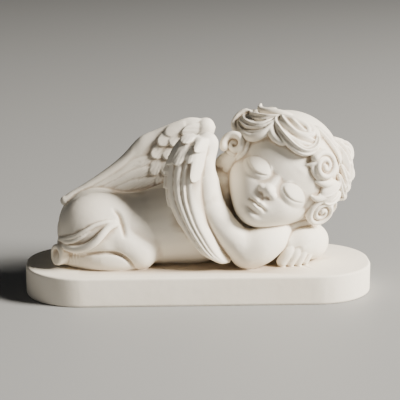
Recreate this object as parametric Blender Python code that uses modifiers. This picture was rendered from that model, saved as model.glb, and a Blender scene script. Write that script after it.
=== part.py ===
"""Sleeping angel: a plaster cast of a winged child asleep on folded arms, one solid with its plinth.

Blender 4.5, metres, +Z up. The origin is the centre of the plinth's underside, +X runs from the
feet to the head and -Y is the side that the face looks to.
"""
import math

import bmesh
import bpy
import numpy as np
from mathutils import Matrix, Vector
from mathutils.bvhtree import BVHTree

# Driving dimensions, in metres.
FIGURE_HEIGHT = 0.110        # plinth top to crown
PLINTH_HEIGHT = 0.021
PLINTH_FOOT_MARGIN = 0.018   # bare plinth beyond the feet
PLINTH_ELBOW_MARGIN = 0.029  # bare plinth beyond the far elbow
PLINTH_SIDE_MARGIN = 0.021   # bare plinth in front of the shins and elbow, and as much behind
PLINTH_CORNER_SHARE = 0.9    # plan corner radius as a share of half the plinth's depth
PLINTH_EDGE_ROUND = 0.0016
SINK = 0.0005                # how far the figure's underside is let into the plinth

# The figure is drawn in modules: one module is one 110th of its height.
MODULES_HIGH = 110.0
MODULE = FIGURE_HEIGHT / MODULES_HIGH
FIGURE_ENDS = (-107.0, 96.0)     # feet and far elbow along X, in modules
FIGURE_SIDE = 26.5               # shins and elbow each side of the middle, in modules

# The skin: how fine the fused casting is, and how many triangles it is thinned to.
SOFT_VOXEL = 2.2 * MODULE
CRISP_VOXEL = 1.1 * MODULE
SOFT_PASSES = 8
CRISP_PASSES = 2
SKIN_TRIANGLES = 8800

# The head: its centre in the figure, and its turn.
HEAD_CENTRE = (57.2, 6.5, 60.0)
HEAD_ROLL = 38.0      # degrees, crown towards +X
HEAD_NOD = -14.0      # degrees, negative looks up
HEAD_TURN = -2.0      # degrees about the upright
CAP_CENTRE = np.array((0.0, 0.5, 9.5))
CAP_RADII = np.array((41.0, 40.0, 42.0))
CAP_BACK = 32.5       # the cap's reach behind its centre, less than in front
PLASTER = (0.86, 0.84, 0.80, 1.0)


def clear_scene():
    for obj in list(bpy.data.objects):
        bpy.data.objects.remove(obj, do_unlink=True)


def smooth_through(rows, count):
    """Catmull-Rom curve through the rows, sampled at even steps of its parameter."""
    rows = np.asarray(rows, float)
    padded = np.vstack([2 * rows[0] - rows[1], rows, 2 * rows[-1] - rows[-2]])
    t = np.linspace(0, len(rows) - 1, count)
    i = np.minimum(t.astype(int), len(rows) - 2)
    f = (t - i)[:, None]
    a, b, c, d = padded[i], padded[i + 1], padded[i + 2], padded[i + 3]
    return 0.5 * (2 * b + (c - a) * f + (2 * a - 5 * b + 4 * c - d) * f**2
                  + (3 * b - a - 3 * c + d) * f**3)


def unit(v):
    return v / np.maximum(np.linalg.norm(v, axis=-1, keepdims=True), 1e-9)


def tube_mesh(rings):
    """Vertices and faces of a closed tube from an array of rings (count, sides, 3)."""
    count, sides, _ = rings.shape
    points = np.vstack([rings.reshape(-1, 3), rings[0].mean(0), rings[-1].mean(0)])
    k, j = np.meshgrid(np.arange(count - 1), np.arange(sides), indexing="ij")
    n = (j + 1) % sides
    quads = np.stack([k * sides + j, k * sides + n, (k + 1) * sides + n, (k + 1) * sides + j], -1)
    first, last = count * sides, count * sides + 1
    j = np.arange(sides)
    n = (j + 1) % sides
    start = np.stack([n, j, np.full(sides, first)], -1)
    end = np.stack([j, n, np.full(sides, last)], -1) + np.array([1, 1, 0]) * (count - 1) * sides
    return points, quads.reshape(-1, 4).tolist() + start.tolist() + end.tolist()


def add_mesh(name, points, faces):
    mesh = bpy.data.meshes.new(name)
    mesh.from_pydata((np.asarray(points) * MODULE).tolist(), [], faces)
    work = bmesh.new()
    work.from_mesh(mesh)
    bmesh.ops.recalc_face_normals(work, faces=work.faces)
    work.to_mesh(mesh)
    work.free()
    obj = bpy.data.objects.new(name, mesh)
    bpy.context.scene.collection.objects.link(obj)
    return obj


def loft(name, stations, up=(0, 0, 1), rings=30, sides=20, caps=5, strands=0, blunt=1.0, ups=None):
    """Closed limb through stations of x, y, z, half width, half height; its ends are rounded.

    ups gives each station its own section direction; strands parts the outer face into locks of hair; blunt
    is how far the last end bulges, as a share of its radius.
    """
    rows = smooth_through(stations, rings)
    path, radii = rows[:, :3], np.maximum(rows[:, 3:5], 0.05)
    tangent = unit(np.gradient(path, axis=0))
    along = smooth_through(ups, rings) if ups is not None else np.tile(np.array(up, float), (rings, 1))
    side = unit(np.cross(tangent, along))
    top = np.cross(side, tangent)
    turn = np.linspace(0, math.pi / 2, caps + 1)[1:]
    reach = radii.mean(1)
    lead = [path[0] - tangent[0] * reach[0] * math.sin(a) for a in turn[::-1]]
    tail = [path[-1] + tangent[-1] * reach[-1] * blunt * math.sin(a) for a in turn]
    ends = np.maximum(np.cos(turn), 0.02)[:, None]
    path = np.vstack([lead, path, tail])
    radii = np.vstack([radii[0] * ends[::-1], radii, radii[-1] * ends ** (blunt if blunt < 1 else 1.0)])
    side = np.vstack([np.tile(side[0], (caps, 1)), side, np.tile(side[-1], (caps, 1))])
    top = np.vstack([np.tile(top[0], (caps, 1)), top, np.tile(top[-1], (caps, 1))])
    angle = np.linspace(0, 2 * math.pi, sides, endpoint=False)
    swell = 1 + 0.3 * np.cos(math.pi * strands * np.cos(angle)) * (np.sin(angle) > 0) if strands else 1.0
    ring = (path[:, None] + side[:, None] * (radii[:, :1] * np.cos(angle))[..., None]
            + top[:, None] * (radii[:, 1:] * np.sin(angle) * swell)[..., None])
    return add_mesh(name, *tube_mesh(ring))


def ball(name, centre, radii, turn=(0, 0, 0)):
    """Ellipsoid from a UV sphere, its radii in modules and its turn in degrees about X, Y, Z."""
    work = bmesh.new()
    spin = Matrix.Rotation(math.radians(turn[2]), 4, "Z")
    spin = spin @ Matrix.Rotation(math.radians(turn[1]), 4, "Y")
    spin = spin @ Matrix.Rotation(math.radians(turn[0]), 4, "X")
    place = Matrix.Translation([c * MODULE for c in centre]) @ spin
    place = place @ Matrix.Diagonal([r * MODULE for r in radii] + [1.0])
    bmesh.ops.create_uvsphere(work, u_segments=28, v_segments=18, radius=1.0, matrix=place)
    mesh = bpy.data.meshes.new(name)
    work.to_mesh(mesh)
    work.free()
    obj = bpy.data.objects.new(name, mesh)
    bpy.context.scene.collection.objects.link(obj)
    return obj


def mirrored(rows):
    """The same stations on the far side of the figure."""
    rows = np.array(rows, float)
    rows[:, 1] *= -1
    return rows


# Trunk, limbs and neck: x, y, z, half width, half height in modules above the plinth.
TRUNK = [(-74, 0, 25, 27, 25), (-56, 0, 25, 27, 26), (-38, 0, 25, 26, 27.5), (-20, 0, 28, 27, 30.5),
         (-4, 0, 31.5, 28, 33.5), (9, 3, 36, 23, 34), (19, 6, 38, 14, 26)]
THIGH = [(-74, -12, 27, 17, 20), (-62, -16, 25, 14.5, 15.5), (-51, -19, 17, 13.3, 13.3),
         (-43, -20, 11.5, 13, 12.5)]
CALF = [(-47, -20.5, 7.6, 9.3, 9.2), (-58, -22, 7.8, 9.9, 9.9), (-72, -21, 8, 9.7, 9.7),
        (-84, -17, 7.4, 7.8, 8.4), (-92, -14, 7, 6.4, 6.8)]
NEAR_UPPER_ARM = [(3, -15, 62, 11, 12), (5, -19, 50, 12, 12), (10, -21.5, 41, 12, 10.8),
                  (19, -22.5, 28, 12.3, 10.8), (28.5, -23, 18, 12.8, 12)]
NEAR_FOREARM = [(34, -23, 13, 13, 14), (43, -22.5, 16.5, 13.5, 14.2), (51, -19.5, 20, 12.2, 12),
                (57, -14, 24, 9.8, 9.2), (62, -7, 27, 7.5, 6.5)]
FAR_UPPER_ARM = [(18, 15, 52, 13.5, 13.5), (38, 18, 40, 13, 13), (60, 17, 28, 13, 13),
                 (80, 9, 17.5, 13, 12.5)]
FAR_FOREARM = [(83, 3, 13.5, 13.2, 13.5), (80.5, -6, 13.5, 12, 12.3), (74, -12, 13.5, 10.5, 9.8)]
NECK = [(8, 2, 48, 14, 16), (26, 4, 55, 12, 14), (44, 5, 58, 12, 13)]


def soft_forms():
    """Groups that each flow together in the clay; where two groups meet, a crease stays."""
    trunk = [loft("trunk", TRUNK), loft("neck", NECK), loft("near_upper_arm", NEAR_UPPER_ARM),
             loft("near_forearm", NEAR_FOREARM), loft("far_upper_arm", FAR_UPPER_ARM),
             loft("near_stalk", NEAR_STALK), loft("far_stalk", FAR_STALK), loft("wing_root", WING_ROOT),
             loft("near_thigh", THIGH), loft("far_thigh", mirrored(THIGH))]
    for side in (-1, 1):
        trunk.append(ball("buttock", (-71, 10.5 * side, 26.5), (31.2, 20.5, 27.5)))
        trunk.append(ball("flank", (-66, 16.5 * side, 18.5), (19, 14.5, 16)))
        trunk.append(ball("seat", (-55, 12 * side, 7), (16, 10, 9)))
    calves = [loft("near_calf", CALF), loft("far_calf", mirrored(CALF))]
    return [trunk, calves, [loft("far_forearm", FAR_FOREARM)]]


# Wings: the leading and trailing edge of each blade, x, y, z in modules.
NEAR_LEAD = [(8, -16, 95), (8, -23, 94), (5, -28, 87), (2.5, -30.5, 77), (0.5, -31.5, 66), (1, -31.5, 52),
             (4.5, -32, 37), (10, -31.5, 25), (16, -30, 14), (22, -28, 6)]
NEAR_TRAIL = [(4, -12, 96), (-9, -15, 96.5), (-18, -19, 88), (-22, -22, 78.5), (-23.5, -24, 67),
              (-22, -25.5, 53), (-15, -27.5, 37.5), (-7.5, -28.5, 24.5), (2, -28.5, 13), (15, -27.5, 5)]
FAR_LEAD = [(11.5, 10, 97.5), (5, 10.5, 102.5), (-6, 11, 104), (-17, 12, 100.5), (-30, 14, 95),
            (-40, 15, 90.5), (-45, 16, 86.5), (-56, 16, 74.5), (-70, 15.5, 63.5), (-84, 14, 54.5),
            (-94, 12, 49), (-99, 10.5, 45)]
FAR_TRAIL = [(10, 9, 88), (6, 8, 66), (-6, 7, 56), (-18, 7.5, 50), (-30, 8.5, 46), (-42, 9, 43.5),
             (-52, 9, 42.5), (-62, 9, 42), (-72, 9, 42), (-82, 9, 41), (-90, 9, 40), (-97, 9.5, 41)]
NEAR_STALK = [(4, -14, 58, 10, 12.5), (2, -16, 68, 9.8, 11), (1.5, -17, 77, 9.8, 9.8),
              (3.5, -17.5, 86, 10, 9.8), (5, -18, 90, 9.5, 9)]
# The near wing's leading bar grows out of the shoulder and arm along here.
WING_ROOT = [(3, -22, 82, 7, 7), (3.5, -23, 68, 8, 8), (4.5, -23.5, 54, 8, 8), (8, -24, 42, 7.5, 7.5),
             (14, -23, 30, 7, 7)]
FAR_STALK = [(10, 14, 56, 12, 12), (3, 13, 70, 9.5, 9.5), (0, 12, 82, 8.5, 8.5), (5.5, 11, 96.5, 8, 8)]
# Covert feathers: root x, z, tip x, z, half width and lift, as seen from the front.
NEAR_COVERTS = [(-1.7, 103, -10.4, 92.5, 4.6, 4.6), (5.5, 98.5, 0.5, 86.5, 5.2, 4.4),
                (-7.5, 94, -16.2, 77.6, 4.8, 3.6), (-14.7, 92, -21.5, 77, 4.2, 2.8),
                (-3.1, 92, -6.5, 79, 3.8, 3.2), (1.2, 90, -2.4, 65.6, 4.0, 3.6),
                (-19, 84, -23.5, 69, 3.2, 2.0)]
FAR_COVERTS = [(10, 95, -12, 93, 6.5, 2.6), (-8, 99, -24, 92, 5.0, 2.2), (-12, 92, -20, 84, 4.8, 2.4),
               (-17, 92.5, -29, 84.5, 5.0, 2.6), (-22, 85, -33.5, 75, 5.0, 2.0),
               (-17, 84, -24.5, 74, 4.5, 2.0), (-26, 77, -33.5, 62, 4.6, 1.6),
               (-18, 76, -25, 62, 4.6, 1.6), (-24, 66, -29.5, 54, 4.2, 1.2),
               (-14, 66, -20, 52, 4.6, 1.3)]


def covert_relief(x, z, coverts):
    """Height of overlapping scales: each is highest at its rounded tip and drops sharply at its edge."""
    height = np.zeros_like(x)
    for x0, z0, x1, z1, half, lift in coverts:
        long = math.hypot(x1 - x0, z1 - z0)
        ux, uz = (x1 - x0) / long, (z1 - z0) / long
        p = ((x - x0) * ux + (z - z0) * uz) / long
        q = ((x - x0) * -uz + (z - z0) * ux) / half
        tip = np.clip((p - 0.55) / 0.45, 0, 1)
        width = (0.8 + 0.2 * np.clip(p / 0.55, 0, 1)) * np.sqrt(1 - tip**2)
        inside = np.clip((width - np.abs(q)) / 0.12, 0, 1) * np.clip(p / 0.1, 0, 1)
        crown = lift * (0.3 + 0.7 * p) * (1 - 0.3 * q**2)
        height = np.maximum(height, inside * crown)
    return height


def blade(name, lead, trail, face, edge_half, web_half, bulge, coverts, bands, band_depth,
          teeth=0.0, both=False, rows=110, columns=56):
    """Wing blade: a web between two edge curves, thick along the leading edge, with feathers on its face.

    teeth is how far the feather tips step past the trailing edge.
    """
    lead, trail = smooth_through(lead, rows), smooth_through(trail, rows)
    s = np.linspace(0, 1, rows)[:, None]
    step = np.mod(s * 10, 1.0) * np.clip((s - 0.28) / 0.04, 0, 1) * np.clip((0.72 - s) / 0.1, 0, 1)
    face = unit(np.array(face, float))
    t = np.linspace(0, 1, columns)
    middle = lead[:, None] + (trail - lead)[:, None] * t[:, None]
    middle = middle + face * (bulge * np.sin(math.pi * t))[:, None]
    middle = middle + (unit(trail - lead) * teeth * step)[:, None] * (t**10)[:, None]
    bar = np.exp(-((t / 0.3) ** 4))
    half = web_half + (edge_half - web_half) * bar
    rounding = np.sqrt(np.clip(1 - (1 - np.clip(t / 0.22, 0, 1)) ** 2, 0, 1))
    rounding = rounding * np.sqrt(np.clip(1 - (1 - np.clip((1 - t) / 0.06, 0, 1)) ** 2, 0, 1))
    close = np.sqrt(np.clip(1 - (2 * s - 1) ** 12, 0, 1))
    half = half * rounding * close
    share = np.mod(t * bands + 0.15 * s, 1.0)
    vanes = np.sin(math.pi * share) ** 0.45 * (1 - 0.4 * share) * np.clip((t - 0.3) / 0.05, 0, 1)
    scales = covert_relief(middle[..., 0], middle[..., 2], coverts)
    relief = np.maximum(band_depth * vanes, scales) * rounding * close
    outer = middle + face * (half + relief)[..., None]
    backing = relief if both else 4.0 * np.exp(-((t / 0.25) ** 2)) * rounding * close
    inner = middle - face * (half + backing)[..., None]
    return add_mesh(name, *tube_mesh(np.concatenate([outer, inner[:, ::-1]], axis=1)))


def head_matrix():
    turn = Matrix.Rotation(math.radians(HEAD_TURN), 4, "Z") @ Matrix.Rotation(math.radians(HEAD_NOD), 4, "X")
    return np.array(turn @ Matrix.Rotation(math.radians(HEAD_ROLL), 4, "Y"))


def place_head(points):
    matrix = head_matrix()
    return np.asarray(points) @ matrix[:3, :3].T + np.array(HEAD_CENTRE)


# Skull and jaw from chin to crown: height, half width, middle along Y, half depth.
HEAD_SECTIONS = [(-41, 0.5, -21, 0.5), (-40, 5.5, -21, 6), (-38, 10, -20.5, 11.5), (-34, 15.5, -18.5, 17),
                 (-28, 22, -14, 23.5), (-20, 28.8, -8, 30.5), (-11, 34, -2.5, 36.5), (1, 37.3, 1.5, 40),
                 (16, 38, 3, 41), (30, 33.5, 3, 36), (40, 24, 3, 26), (46, 12, 3, 13), (47.5, 0.5, 3, 0.5)]


def bump(x, z, cx, cz, wx, wz, under=1.0):
    """Soft mound round a point; under narrows the half below it."""
    wz = np.where(z < cz, wz * under, wz)
    return np.exp(-(((x - cx) / wx) ** 2) - ((z - cz) / wz) ** 2)


def ramp(value, start, end):
    """Smooth step from 0 at start to 1 at end."""
    share = np.clip((value - start) / (end - start), 0, 1)
    return share * share * (3 - 2 * share)


def dome(x, z, cx, cz, wx, wz):
    """Round button: the upper half of an ellipsoid, 1 at its middle and 0 from its rim on."""
    return np.sqrt(np.clip(1 - ((x - cx) / wx) ** 2 - ((z - cz) / wz) ** 2, 0, 1))


def eased_max(a, b, soft):
    """The greater of two heights, with a fillet of the given softness where they cross."""
    return 0.5 * (a + b + np.sqrt((a - b) ** 2 + soft**2) - soft)


def face_relief(x, z):
    """How far the face stands proud of the skull: sockets, closed lids, nose, lips, cheeks and chin."""
    side = np.abs(x)
    out = 3.2 * bump(side, z, 19, -17, 12, 11) + 2.8 * bump(x, z, 0, -35.5, 8, 4.6)
    out += 1.6 * bump(side, z, 13, 11.5, 14, 5.5) - 2.6 * bump(side, z, 15, -1, 11, 8)
    eye = side - 16
    ball = np.clip(1 - (eye / 12.0) ** 2 - ((z + 3.4) / 9.0) ** 2, 0, 1)
    out += 4.7 * ball**0.8
    lash = z + 8.2 - 0.036 * eye**2 - 0.04 * eye
    open_lid = ramp(-np.abs(eye), -11.0, -8.5)
    out += open_lid * 0.8 * ramp(lash, -0.35, 0.35) * np.exp(-np.clip(lash, 0, 99) / 5.0)
    out -= open_lid * 0.9 * np.exp(-(((lash + 0.3) / 0.55) ** 2))
    fold = z - 3.6 + 0.05 * eye**2 + 0.04 * eye
    arch = ramp(-np.abs(eye), -12.5, -9.5)
    out += arch * 0.8 * ramp(fold, -0.5, 0.5) * np.exp(-np.clip(fold, 0, 99) / 3.0)
    out -= arch * 0.5 * np.exp(-(((fold + 0.3) / 0.6) ** 2))
    bridge = (0.4 + 2.0 * ramp(-z, -5, 11)) * np.exp(-((x / 4.8) ** 2)) * ramp(-z, -8, 0) * ramp(z, -18, -13)
    nose = eased_max(bridge, 4.6 * dome(x, z, 0, -12.9, 5.4, 5.3) ** 1.6, 0.8)
    nose = eased_max(nose, 2.7 * dome(side, z, 4.6, -14.3, 3.4, 3.0) ** 1.4, 0.7)
    out += nose + 1.2 * bump(x, z, 0, -14, 8, 4.5) - 1.3 * bump(side, z, 2.3, -17.4, 1.6, 1.1)
    out -= 0.6 * bump(x, z, 0, -20.6, 1.1, 1.8)
    out += 2.4 * bump(x, z, 0, -25.4, 8.5, 5.4)
    out += 1.9 * bump(side, z, 2.3, -23.5, 2.7, 1.4) + 2.5 * bump(x, z, 0, -27.8, 4.2, 1.9)
    mouth = z + 25.5 + 0.5 * np.exp(-((x / 1.6) ** 2)) + 0.008 * x**2
    mouth = mouth - 0.3 * bump(side, z, 3.6, -25.5, 2.0, 9)
    out -= 1.6 * np.exp(-((mouth / 0.85) ** 2)) * ramp(-side, -7.6, -5.4)
    out -= 1.1 * bump(side, z, 7.6, -25.9, 1.5, 1.5) + 1.4 * bump(x, z, 0, -31.2, 6.0, 1.7)
    return out


def head(rings=150, sides=190):
    """Skull lofted from chin to crown, with the face raised on its front."""
    rows = smooth_through(HEAD_SECTIONS, rings)
    angle = np.linspace(0, 2 * math.pi, sides, endpoint=False)
    x = rows[:, 1:2] * np.cos(angle)
    y = rows[:, 2:3] + rows[:, 3:4] * np.sin(angle)
    y = np.where(y > 0, y * CAP_BACK / (CAP_RADII[1] + 2), y)
    z = np.tile(rows[:, :1], (1, sides))
    front = np.clip((-np.sin(angle) - 0.1) / 0.35, 0, 1)
    y = y - face_relief(x, z) * front * front * (3 - 2 * front)
    return add_mesh("head", *tube_mesh(place_head(np.stack([x, y, z], -1))))


def on_cap(longitude, latitude, lift):
    """Point over the hair cap and the way out of it; longitude 0 is the brow, 90 the +X side of the head."""
    lon, lat = np.radians(longitude), np.radians(latitude)
    way = np.stack([np.sin(lon) * np.cos(lat), -np.cos(lon) * np.cos(lat), np.sin(lat)], -1)
    radii = np.tile(CAP_RADII, way.shape[:-1] + (1,))
    radii[..., 1] = np.where(way[..., 1] > 0, CAP_BACK, CAP_RADII[1])
    out = unit(way / radii)
    return CAP_CENTRE + way * radii + out * np.asarray(lift)[..., None], out


def lock(name, points, half, flat=0.9, strands=0, rings=40):
    """Lock of hair over the cap from longitude, latitude and lift; it swells, then thins to its tip."""
    rows = smooth_through(points, rings)
    path, out = on_cap(rows[:, 0], rows[:, 1], rows[:, 2])
    share = np.linspace(0, 1, rings)
    size = np.maximum(half * (0.45 + 0.75 * np.sin(math.pi * share**0.8) ** 0.7 - 0.25 * share), 1.0)
    body = np.hstack([place_head(path), size[:, None], size[:, None] * flat])
    ups = out @ head_matrix()[:3, :3].T
    return loft(name, body, ups=ups, rings=rings, sides=32 if strands else 12, caps=3, strands=strands)


def pad(name, centre, out, radius, thickness):
    """Round cushion of hair under a curl, given in the head's own directions."""
    east = unit(np.cross(np.array([0.0, 0.0, 1.0]), out))
    north = np.cross(out, east)
    lon, lat = np.meshgrid(np.linspace(0, 2 * math.pi, 24, endpoint=False), np.linspace(-1.5, 1.5, 14))
    ring = (centre + east * (radius * np.cos(lat) * np.cos(lon))[..., None]
            + north * (radius * np.cos(lat) * np.sin(lon))[..., None]
            + out * (thickness * np.sin(lat))[..., None])
    return add_mesh(name, *tube_mesh(place_head(ring)))


def rosette(name, longitude, latitude, radius, lift, turns, start, hand, thick, rise, front):
    """Curl wound like a snail on a cushion of hair, thinning as it winds in, its middle raised or sunk."""
    centre, out = on_cap(np.array(longitude), np.array(latitude), np.array(lift))
    out = unit(out * (1 - front) + np.array([0.0, -1.0, 0.0]) * front)
    east = unit(np.cross(np.array([0.0, 0.0, 1.0]), out))
    north = np.cross(out, east)
    share = np.linspace(0, 1, 26)
    angle = math.radians(start) + hand * 2 * math.pi * turns * share
    reach = (radius - thick) * (1 - share) ** 0.85 + 0.4
    path = centre + (east * np.cos(angle)[:, None] + north * np.sin(angle)[:, None]) * reach[:, None]
    path = path + out * (rise * share**1.3)[:, None]
    size = thick * (1 - 0.45 * share)
    body = np.hstack([place_head(path), size[:, None], size[:, None] * 1.3])
    ups = np.tile(out @ head_matrix()[:3, :3].T, (len(body), 1))
    curl = loft(name, body, ups=ups, rings=90, sides=12, caps=3)
    return [curl, pad(name + "_pad", centre + out * (min(rise, 0) - 1.5), out, radius - 0.6 * thick, 2.6)]


ROSETTES = [  # longitude, latitude, radius, lift, turns, start, hand, thick, rise and turn to the front
    (-58, -12.5, 10.5, 6.4, 1.35, 230, -1, 3.0, -2.8, 0.6),
    (31, 20.5, 12.5, 1.8, 1.9, 175, -1, 2.7, 1.5, 0.0),
    (70, -13, 13, 2.2, 2.1, 150, 1, 2.6, 1.5, 0.35),
    (-90, -37, 6.5, 3.5, 1.2, 120, 1, 2.0, 1.0, 0.6),
    (-118, 12, 11, 1.5, 1.7, 60, 1, 2.6, 1.5, 0.0),
    (112, 14, 11, 1.5, 1.7, 120, -1, 2.6, 1.5, 0.0),
    (-122, -24, 11, 1.5, 1.7, 0, 1, 2.6, 1.5, 0.0),
    (140, -14, 11, 1.5, 1.7, 90, -1, 2.6, 1.5, 0.0),
    (178, -26, 11, 1.5, 1.7, 45, 1, 2.6, 1.5, 0.0),
    (-152, -8, 11, 1.5, 1.7, 10, -1, 2.6, 1.5, 0.0),
    (168, 8, 11, 1.5, 1.7, 80, 1, 2.6, 1.5, 0.0),
    (108, -22, 10, 1.5, 1.6, 80, 1, 2.4, 1.5, 0.0),
    (-150, 26, 10, 1.0, 1.6, 80, -1, 2.4, 1.5, 0.0),
    (140, 28, 10, 1.0, 1.6, 80, 1, 2.4, 1.5, 0.0),
]
LOCKS = [  # longitude, latitude and lift of the points, then half width, flatness and strands
    ([(-44, 32, 0.4), (-42, 22, 0.8), (-46, 12, 1.2), (-58, 6, 1.6), (-74, 7, 3), (-86, 10, 5),
      (-89, 15, 6.5)], 7.0, 0.52, 4),
    ([(-46, 34, 1), (-39, 21, 2.4), (-39, 10, 2.8), (-46, 1, 2.8), (-59, -1, 3), (-76, -1, 4),
      (-88, 3, 7), (-90, 10, 9.2), (-89, 17, 9), (-87, 20.5, 6.5)], 2.7, 1.2, 0),
    ([(-42, 29, 1.4), (-45, 17, 3), (-56, 11, 3.6), (-72, 10, 4.6), (-86, 13, 6.2), (-88, 17, 5.8)],
     2.0, 1.1, 0),
    ([(-46, 50, -1.5), (-57, 41, -0.4), (-68, 34, 0.8), (-79, 30, 2.4), (-86, 29, 5), (-88, 31, 8)],
     3.3, 1.0, 0),
    ([(-46, 36, 0.6), (-56, 25, 1.4), (-70, 20, 2.6), (-84, 19.5, 4), (-89, 23, 6)], 3.2, 0.9, 2),
    ([(-45, 36, 0), (-34, 31, 0.8), (-22, 28, 1.2), (-10, 28, 1.4), (2, 32, 1.2), (8, 37, 0.4)],
     9.0, 0.5, 3),
    ([(-48, 36, 1), (-38, 36.5, 2.6), (-28, 39, 3.2), (-18, 41, 3.2), (-9, 40.5, 3.4), (-4, 36, 3.8),
      (-4, 31, 3.8), (-10, 27.5, 3)], 2.5, 1.1, 0),
    ([(-44, 32, 1.4), (-31, 27.5, 3.2), (-18, 27, 3.8), (-7, 30, 4.2), (0, 37, 3.8), (-3, 43, 3.2),
      (-11, 45, 2.4)], 2.4, 1.1, 0),
    ([(-43, 28, 1.2), (-28, 21.5, 2.8), (-15, 18, 3.2), (-3, 17, 3.2), (6, 20, 3.2), (11, 29, 3),
      (9, 39, 2.8), (2, 45, 2)], 3.4, 1.0, 2),
    ([(-43, 26, 1.2), (-37, 18, 1.8), (-30, 13.5, 2), (-20, 12.5, 2), (-12, 16, 1.8)], 2.8, 1.1, 0),
    ([(0, 56, 0.2), (18, 54, 0.5), (34, 50, 0.9), (50, 44, 1.3), (60, 36, 1.6)], 4.0, 0.5, 3),
    ([(32, 30, 1.4), (25, 22, 1.8), (20, 16, 1.4), (15, 11.5, 0.2)], 2.6, 0.9, 0),
    ([(54, 14, 1.2), (46, 9.5, 1.6), (39, 6.5, 1.2), (33, 4.5, 0.2)], 2.6, 0.9, 0),
    ([(44, 56, 0), (64, 50, 0.6), (76, 40, 1.8), (82, 28, 2.8), (84, 16, 2.6), (82, 4, 1.6)],
     6.0, 0.8, 3),
    ([(48, 12, 0), (56, 6, 0.6), (64, 2, 0.8), (70, -2, 0.4)], 7.0, 0.45, 3),
    ([(40, 58, 0.3), (58, 58.5, 1.2), (73, 57, 3.8), (80, 52, 6.2), (81, 45, 6.2), (79, 40, 3.6)],
     3.4, 0.9, 2),
    ([(58, 46, 1), (72, 40, 3.2), (81, 36, 5.2), (85, 30, 7.6), (84, 24.5, 6.4)], 2.9, 0.9, 2),
    ([(64, 35, 1.5), (75, 28, 3.4), (83, 23.5, 5.2), (85.5, 18, 6.6), (84, 12.5, 4.6)], 2.7, 0.9, 2),
    ([(60, 25, 1.5), (72, 18.5, 3), (82, 14.5, 4.8), (86, 10.5, 7), (85, 6, 4.6)], 2.5, 0.9, 2),
    ([(50, 9, 1.4), (62, 6.5, 2.4), (75, 4, 3.4), (80, -1, 3), (70, -4, 2.2), (58, -5, 1.2)],
     2.6, 0.9, 2),
    ([(66, 20, 1.4), (61, 10, 2), (55, 2, 2), (47, -3, 1.4)], 2.8, 0.9, 2),
    ([(38, 6, 0.8), (46, 1, 1.8), (51, -6, 1.8), (48, -13, 1)], 2.3, 0.9, 0),
    ([(84, 4, 1.6), (92, -2, 3), (92, -12, 3.5), (84, -24, 2.4)], 3.4, 0.9, 2),
    ([(-56, -20, -1), (-68, -28, 1.4), (-82, -32, 3.6), (-92, -36, 5), (-94, -43, 3), (-90, -50, 0)],
     5.6, 0.8, 0),
    ([(-60, -20, -1), (-66, -30, 0.4), (-76, -39, 1.2), (-88, -47, 1.6), (-97, -54, 0)], 4.6, 0.8, 0),
    ([(-58, 4, 0), (-53, -6, 0.4), (-51, -16, 0.4), (-58, -28, 0.6)], 3.8, 0.7, 2),
    ([(-100, 44, 0.4), (-106, 34, 1.6), (-98, 24, 3), (-104, 14, 3)], 4.2, 0.75, 3),
    ([(-128, 54, 0.2), (-134, 42, 1), (-126, 32, 1.8), (-132, 20, 2)], 4.2, 0.75, 3),
    ([(112, 52, 0.2), (106, 40, 1.4), (112, 30, 2.2), (104, 22, 2.4)], 4.2, 0.75, 3),
    ([(160, 54, 0.2), (166, 42, 1), (158, 30, 1.8), (164, 20, 2)], 4.2, 0.75, 3),
    ([(188, 48, 0.2), (184, 34, 1), (192, 22, 1.8), (186, 12, 2), (196, 4, 1.6)], 4.2, 0.75, 3),
    ([(-134, 8, 1), (-138, -4, 1.8), (-132, -12, 2), (-140, -26, 1.6)], 3.8, 0.75, 3),
    ([(124, 6, 1), (128, -4, 1.8), (122, -12, 2), (126, -28, 1.6)], 3.8, 0.75, 3),
    ([(160, -6, 1), (164, -16, 1.8), (158, -26, 2), (160, -38, 1.4)], 3.8, 0.75, 3),
    ([(-164, -14, 1), (-168, -24, 1.8), (-160, -34, 2), (-164, -44, 1.4)], 3.8, 0.75, 3),
]


def hair():
    """Smooth cap with locks laid forward from the crown and a ring of snail curls."""
    lon, lat = np.meshgrid(np.linspace(0, 360, 48, endpoint=False), np.linspace(-89, 89, 40))
    forms = [add_mesh("cap", *tube_mesh(place_head(on_cap(lon, lat, 0 * lat)[0])))]
    for number, sizes in enumerate(ROSETTES):
        forms += rosette(f"rosette_{number}", *sizes)
    for number, (points, half, flat, strands) in enumerate(LOCKS):
        forms.append(lock(f"lock_{number}", points, half, flat, strands))
    return forms


# Hands and feet. The fingers are knuckle, joint and tip.
FINGERS = [([(69, -14, 18.5), (64, -20.5, 11.5), (59, -21, 4)], 4.0),
           ([(73.5, -14, 17.5), (69.5, -20.2, 10.5), (65, -20.5, 3.2)], 3.4),
           ([(77.5, -13, 16.5), (74.5, -19.0, 9.8), (70.8, -19.6, 3.0)], 3.1),
           ([(81, -11.5, 15.5), (79, -16.2, 9), (76.2, -17.2, 3.2)], 2.7)]

# Foot from ankle to sole: x, y, z, half width, half height.
FOOT = [(-91, -14, 7.6, 6.3, 6.6), (-95, -15, 9.0, 5.8, 6.7), (-98.5, -17.2, 10.2, 6.2, 7.3),
        (-101.5, -19.8, 11.0, 6.6, 7.7)]


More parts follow.
